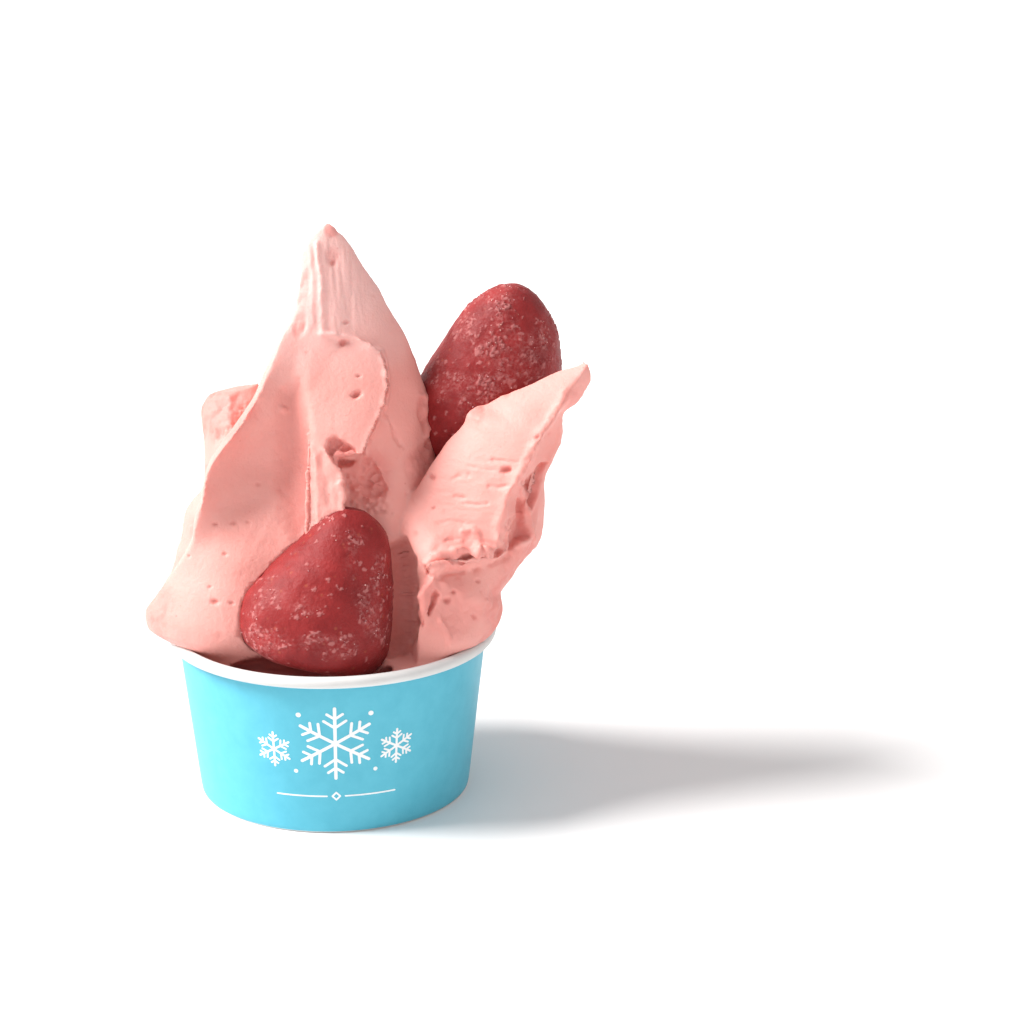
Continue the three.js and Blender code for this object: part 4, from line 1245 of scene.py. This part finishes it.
def floorPiece():
    low, high = cupSizes["floorHeight"], cupSizes["floorHeight"] + cupSizes["paper"]
    bottom, corner = cupSizes["paper"] + cupSizes["gap"], paperDetail["corner"]
    skirt = cupSizes["footRadius"] - bottom
    inner, middle = skirt - cupSizes["paper"], 0.5
    profile = [(middle, low), (inner - 1, low), (inner, low - 0.6), (inner, bottom), (skirt, bottom)]
    profile += [(skirt, high - corner), (skirt - corner, high), (middle, high)]
    return meshObject("paper_floor", *turned(profile, paperDetail["floorSegments"]))


wall, seam, floor = wallPiece(), seamPiece(), floorPiece()
print("paper cup")


# White print on the wall: snow crystals over a thin rule. Sizes in mm, on the wall rolled out flat.
printDetail = {
    "proud": 0.04,
    "sunk": 0.03,
    "crystals": [(0, 27.5, 10.5, 0.9), (-17, 25, 5, 0.62), (17, 25, 5, 0.62)],
    "dots": [(-9.5, 36, 0.7), (9.5, 36, 0.7), (-11, 19, 0.6), (11, 19, 0.6)],
    "twigs": ((0.45, 0.34), (0.7, 0.24)),  # place along the arm, length, in parts of the arm
    "twigLean": 55,
    "twigWidth": 0.85,
    "roundSteps": 6,
    "ruleHeight": 11.5,
    "ruleWidth": 0.45,
    "rule": (2.6, 17),  # from, to, on both sides
    "diamond": 1.1,
    "diamondWidth": 0.5,
    "middleHeight": 25,
    "cuts": (24, 1.5),  # how far out, how far apart
}


# A flat bar with round ends from one point to another.
def flatBar(start, end, width):
    start, end = np.array(start, float), np.array(end, float)
    base = math.atan2(end[1] - start[1], end[0] - start[0])
    steps, outline = printDetail["roundSteps"], []
    for middle, first in ((end, -0.5), (start, 0.5)):
        for k in range(steps + 1):
            angle = base + math.pi * (first + k / steps)
            outline.append((middle[0] + width / 2 * math.cos(angle), middle[1] + width / 2 * math.sin(angle)))
    count = len(outline)
    points = [(x, y, z) for y in (-printDetail["sunk"], printDetail["proud"]) for x, z in outline]
    faces = [tuple(range(count)), tuple(reversed(range(count, 2 * count)))]
    faces += [(i, count + i, count + (i + 1) % count, (i + 1) % count) for i in range(count)]
    return points, faces


def crystalBars(x, z, size, width):
    bars, middle = [], np.array([x, z])
    for arm in range(6):
        turn = math.radians(30 + 60 * arm)
        ahead = np.array([math.cos(turn), math.sin(turn)])
        bars.append((middle, middle + ahead * size, width))
        for share, length in printDetail["twigs"]:
            joint = middle + ahead * size * share
            for side in (-1, 1):
                lean = turn + side * math.radians(printDetail["twigLean"])
                end = joint + np.array([math.cos(lean), math.sin(lean)]) * size * length
                bars.append((joint, end, width * printDetail["twigWidth"]))
    return bars


def printPiece():
    bars = [bar for crystal in printDetail["crystals"] for bar in crystalBars(*crystal)]
    bars += [((x, z), (x + 0.01, z), 2 * radius) for x, z, radius in printDetail["dots"]]
    level, (near, far), out = printDetail["ruleHeight"], printDetail["rule"], printDetail["diamond"]
    bars += [((-far, level), (-near, level), printDetail["ruleWidth"])]
    bars += [((near, level), (far, level), printDetail["ruleWidth"])]
    for tip in (level + out, level - out):
        bars += [((-out, level), (0, tip), printDetail["diamondWidth"])]
        bars += [((0, tip), (out, level), printDetail["diamondWidth"])]
    piece = meshObject("snow_print", *flatBar(*bars[0]), smooth=False)
    for bar in bars[1:]:
        part = meshObject("bar", *flatBar(*bar), smooth=False)
        applyModifier(piece, "BOOLEAN", operation="UNION", solver="MANIFOLD", object=part)
        discard(part)
    piece.data.materials.clear()
    work = bmesh.new()
    work.from_mesh(piece.data)
    reach, apart = printDetail["cuts"]
    for x in np.arange(-reach, reach, apart):
        bmesh.ops.bisect_plane(work, geom=work.verts[:] + work.edges[:] + work.faces[:],
                               plane_co=cupAxis + Vector((x, 0, 0)) * mm, plane_no=(1, 0, 0))
    work.to_mesh(piece.data)
    work.free()
    flat = meshPoints(piece.data)
    reach = wallOuter(flat[:, 2]) + flat[:, 1]
    turn = flat[:, 0] / wallOuter(printDetail["middleHeight"]) - math.pi / 2
    setMeshPoints(piece.data, np.stack([reach * np.cos(turn), reach * np.sin(turn), flat[:, 2]], axis=1))
    return piece


snowPrint = printPiece()
print("print", len(snowPrint.data.polygons), "faces")


# Materials

# Links a socket where a node gives the value, and sets it otherwise.
def feed(tree, socket, value):
    if isinstance(value, bpy.types.NodeSocket):
        tree.links.new(value, socket)
    else:
        socket.default_value = value


def node(tree, kind, inputs, **settings):
    made = tree.nodes.new("ShaderNode" + kind)
    for key, value in settings.items():
        setattr(made, key, value)
    for key, value in inputs.items():
        feed(tree, made.inputs[key], value)
    return made


def objectPlace(tree):
    return node(tree, "TexCoord", {}).outputs["Object"]


# The mask or height that a mesh carries under a name.
def carried(tree, name):
    return node(tree, "Attribute", {}, attribute_name=name).outputs["Fac"]


def maths(tree, operation, a, b):
    return node(tree, "Math", {0: a, 1: b}, operation=operation).outputs[0]


def ranged(tree, value, **ends):
    inputs = {key.replace("_", " "): end for key, end in ends.items()}
    return node(tree, "MapRange", {"Value": value, **inputs}).outputs[0]


def mixed(tree, share, low, high):
    made = node(tree, "Mix", {"Factor": share}, data_type="RGBA")
    feed(tree, made.inputs[6], low)
    feed(tree, made.inputs[7], high)
    return made.outputs[2]


def newGroup(name, inputs, outputs):
    group = bpy.data.node_groups.new(name, "ShaderNodeTree")
    for socket, kind in inputs.items():
        group.interface.new_socket(name=socket, in_out="INPUT", socket_type="NodeSocket" + kind)
    for socket, kind in outputs.items():
        group.interface.new_socket(name=socket, in_out="OUTPUT", socket_type="NodeSocket" + kind)
    return group, group.nodes.new("NodeGroupInput"), group.nodes.new("NodeGroupOutput")


# Two tones that run into each other in soft patches of a size in mm.
def makeMottle():
    group, given, out = newGroup(
        "mottle", {"Low": "Color", "High": "Color", "Size": "Float"}, {"Color": "Color"},
    )
    scale = maths(group, "DIVIDE", 1000.0, given.outputs["Size"])
    place = objectPlace(group)
    field = node(group, "TexNoise", {"Vector": place, "Scale": scale, "Detail": 4.0, "Roughness": 0.6})
    share = ranged(group, field.outputs["Fac"], From_Min=0.32, From_Max=0.68)
    blend = mixed(group, share, given.outputs["Low"], given.outputs["High"])
    group.links.new(blend, out.inputs["Color"])
    return group


# Fine grain as a height from 0 to 1, and small round specks as a mask.
def makeGrain():
    group, given, out = newGroup(
        "grain", {"Size": "Float", "Speck Size": "Float", "Speck Spread": "Float"},
        {"Height": "Float", "Specks": "Float"},
    )
    place, spacing = objectPlace(group), given.outputs["Speck Spread"]
    scale = maths(group, "DIVIDE", 1000.0, given.outputs["Size"])
    field = node(group, "TexNoise", {"Vector": place, "Scale": scale, "Detail": 5.0, "Roughness": 0.65})
    spots = node(group, "TexVoronoi", {"Vector": place, "Scale": maths(group, "DIVIDE", 1000.0, spacing)})
    reach = maths(group, "DIVIDE", given.outputs["Speck Size"], spacing)
    inside = ranged(group, spots.outputs["Distance"], From_Min=reach, From_Max=0.0)
    group.links.new(field.outputs["Fac"], out.inputs["Height"])
    group.links.new(inside, out.inputs["Specks"])
    return group


mottle, grain = makeMottle(), makeGrain()


def newMaterial(name, **sockets):
    material = bpy.data.materials.new(name)
    material.use_nodes = True
    shader = material.node_tree.nodes["Principled BSDF"]
    for key, value in sockets.items():
        shader.inputs[key.replace("_", " ")].default_value = value
    return material, material.node_tree, shader


def placeMottle(tree, tones, size):
    low, high = tones
    return node(tree, "Group", {"Low": low, "High": high, "Size": size}, node_tree=mottle).outputs["Color"]


def placeGrain(tree, sizes):
    inputs = dict(zip(("Size", "Speck Size", "Speck Spread"), sizes))
    return node(tree, "Group", inputs, node_tree=grain).outputs


# Feeds a shader its colour, its roughness from a mask, and relief from a height where there is one.
def dress(tree, shader, colour, mask, rough, height=None, depth=0.0):
    feed(tree, shader.inputs["Base Color"], colour)
    feed(tree, shader.inputs["Roughness"], ranged(tree, mask, To_Min=rough[0], To_Max=rough[1]))
    if height is not None:
        bump = node(tree, "Bump", {"Height": height, "Distance": depth, "Strength": 1.0})
        feed(tree, shader.inputs["Normal"], bump.outputs[0])


sorbetLook = {
    "tones": ((0.82, 0.345, 0.302, 1), (0.84, 0.385, 0.340, 1)),
    "patches": 16.0,
    "grain": (1.3, 0.42, 5.5),  # size, speck size, speck spread in mm
    "over": {  # laid over each other in this order: share, colour
        # paler towards the top of the heap
        "paler_top": (0.75, (0.87, 0.54, 0.505, 1)),
        # deeper tone of torn places, which on the ruffle is also painted shade
        "torn": (0.7, (0.77, 0.26, 0.228, 1)),
        "specks": (0.55, (0.62, 0.15, 0.13, 1)),
        # painted shade in pits, pores and hollows
        "hollow": (0.7, (0.62, 0.16, 0.14, 1)),
        # painted shade around the gap under the low strawberry
        "cavity_shade": (0.9, (0.22, 0.035, 0.032, 1)),
    },
    "rough": (0.42, 0.68),
    "relief": 0.00022,
}


def makeSorbetLook():
    material, tree, shader = newMaterial(
        "strawberry_sorbet", Specular_IOR_Level=0.35,
        Subsurface_Weight=0.2, Subsurface_Scale=0.002, Subsurface_Radius=(1.0, 0.42, 0.32),
    )
    tone = placeMottle(tree, sorbetLook["tones"], sorbetLook["patches"])
    fine = placeGrain(tree, sorbetLook["grain"])
    for name, (share, colour) in sorbetLook["over"].items():
        mask = fine["Specks"] if name == "specks" else carried(tree, name)
        tone = mixed(tree, maths(tree, "MULTIPLY", mask, share), tone, colour)
    dress(tree, shader, tone, fine["Height"], sorbetLook["rough"], fine["Height"], sorbetLook["relief"])
    return material


berryLook = {
    "tones": ((0.21, 0.012, 0.013, 1), (0.33, 0.026, 0.026, 1)),
    "patches": 9.0,
    "grain": (0.9, 0.5, 1.6),
    "seed": (0.42, 0.10, 0.05, 1),
    "seedShare": 0.6,
    "frost": (0.58, 0.24, 0.23, 1),
    "haze": 0.5,
    "crust": 0.55,
    "rough": (0.46, 0.75),
    "relief": 0.00025,
}


def makeBerryLook():
    material, tree, shader = newMaterial(
        "frozen_strawberry", Specular_IOR_Level=0.22,
        Subsurface_Weight=0.12, Subsurface_Scale=0.002, Subsurface_Radius=(1.0, 0.2, 0.15),
        Sheen_Weight=0.06, Sheen_Roughness=0.45, Sheen_Tint=(1.0, 0.72, 0.72, 1),
    )
    tone = placeMottle(tree, berryLook["tones"], berryLook["patches"])
    fine = placeGrain(tree, berryLook["grain"])
    seeds = maths(tree, "MULTIPLY", carried(tree, "seed"), berryLook["seedShare"])
    grains = ranged(tree, fine["Height"], From_Min=0.42, From_Max=0.62)
    haze = maths(tree, "MULTIPLY", maths(tree, "MULTIPLY", carried(tree, "frost"), grains), berryLook["haze"])
    crust = maths(tree, "MULTIPLY", carried(tree, "flake"), berryLook["crust"])
    whitened = maths(tree, "MAXIMUM", haze, crust)
    tone = mixed(tree, whitened, mixed(tree, seeds, tone, berryLook["seed"]), berryLook["frost"])
    dress(tree, shader, tone, whitened, berryLook["rough"], fine["Height"], berryLook["relief"])
    return material


frostLook = {
    "tones": ((0.60, 0.23, 0.23, 1), (0.80, 0.44, 0.43, 1)),
    "patches": 2.0,
    "grain": (0.3, 0.1, 1.0),
    "rough": (0.2, 0.5),
}


def makeFrostLook():
    material, tree, shader = newMaterial("frost_grains", Subsurface_Weight=0.3, Subsurface_Scale=0.001)
    tone = placeMottle(tree, frostLook["tones"], frostLook["patches"])
    dress(tree, shader, tone, placeGrain(tree, frostLook["grain"])["Height"], frostLook["rough"])
    return material


boardLook = {
    "patches": 5.0,
    "grain": (0.7, 0.1, 3.0),
    "relief": 0.00004,
    "finishes": {  # the two tones, and the roughness
        "blue_board": (((0.100, 0.475, 0.615, 1), (0.118, 0.515, 0.655, 1)), (0.38, 0.54)),
        "white_board": (((0.68, 0.675, 0.665, 1), (0.72, 0.715, 0.705, 1)), (0.5, 0.66)),
        "white_ink": (((0.86, 0.87, 0.87, 1), (0.93, 0.93, 0.93, 1)), (0.42, 0.58)),
    },
}


def makeBoardLook(name):
    material, tree, shader = newMaterial(name, Specular_IOR_Level=0.3)
    tones, rough = boardLook["finishes"][name]
    tone = placeMottle(tree, tones, boardLook["patches"])
    fine = placeGrain(tree, boardLook["grain"])["Height"]
    dress(tree, shader, tone, fine, rough, fine, boardLook["relief"])
    return material


tableLook = {"tones": ((0.90, 0.89, 0.89, 1), (0.92, 0.91, 0.91, 1)), "patches": 300.0, "rough": 0.6}


def makeTableLook():
    material, tree, shader = newMaterial("pale_table", Roughness=tableLook["rough"])
    feed(tree, shader.inputs["Base Color"], placeMottle(tree, tableLook["tones"], tableLook["patches"]))
    return material


sorbetMaterial, berryMaterial, frostMaterial = makeSorbetLook(), makeBerryLook(), makeFrostLook()
blueBoard, whiteBoard, whiteInk = map(makeBoardLook, boardLook["finishes"])
tableMaterial = makeTableLook()

for piece, nodes, slot, materials in (
    (sorbet, ["sorbet"], "sorbet", [sorbetMaterial]),
    (lowBerry, ["strawberry_front"], "strawberry", [berryMaterial]),
    (highBerry, ["strawberry_back"], "strawberry", [berryMaterial]),
    (lowFrost, [], "strawberry", [frostMaterial]),
    (highFrost, [], "strawberry", [frostMaterial]),
    (wall, ["cup_wall"], "cup_board", [blueBoard, whiteBoard]),
    (seam, [], "cup_board", [blueBoard]),
    (snowPrint, [], "cup_board", [whiteInk]),
    (floor, ["cup_floor"], "cup_inside", [whiteBoard]),
):
    for material in materials:
        piece.data.materials.append(material)
    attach(piece, "root")
    if nodes:
        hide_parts(*nodes)
print("materials")


# Table and light
stageDetail = {
    "half": 6.0,  # metres
    "world": (1.0, 0.985, 0.985, 1),
    "worldStrength": 0.62,
    "lights": {  # the way it comes from, how wide it looks in degrees, strength, colour
        "window": ((-0.74, 0.015, 0.67), 26, 5.4, (1.0, 0.985, 0.97)),
    },
}


def makeStage():
    half = stageDetail["half"] / mm
    table = meshObject("table", [(-half, -half, 0), (half, -half, 0), (half, half, 0), (-half, half, 0)],
                       [(0, 1, 2, 3)], smooth=False)
    table.data.materials.append(tableMaterial)
    for name, (comesFrom, spread, strength, colour) in stageDetail["lights"].items():
        data = bpy.data.lights.new(name, "SUN")
        data.angle = math.radians(spread)
        data.energy = strength
        data.color = colour
        lamp = bpy.data.objects.new(name, data)
        lamp.location = cupAxis + Vector(comesFrom)
        lamp.rotation_euler = Vector(comesFrom).to_track_quat("Z", "Y").to_euler()
        bpy.context.scene.collection.objects.link(lamp)
    world = bpy.data.worlds.new("studio")
    world.use_nodes = True
    ground = world.node_tree.nodes["Background"]
    ground.inputs["Color"].default_value = stageDetail["world"]
    ground.inputs["Strength"].default_value = stageDetail["worldStrength"]
    bpy.context.scene.world = world
    bpy.context.scene.view_settings.view_transform = "Standard"


makeStage()
print("table and light")
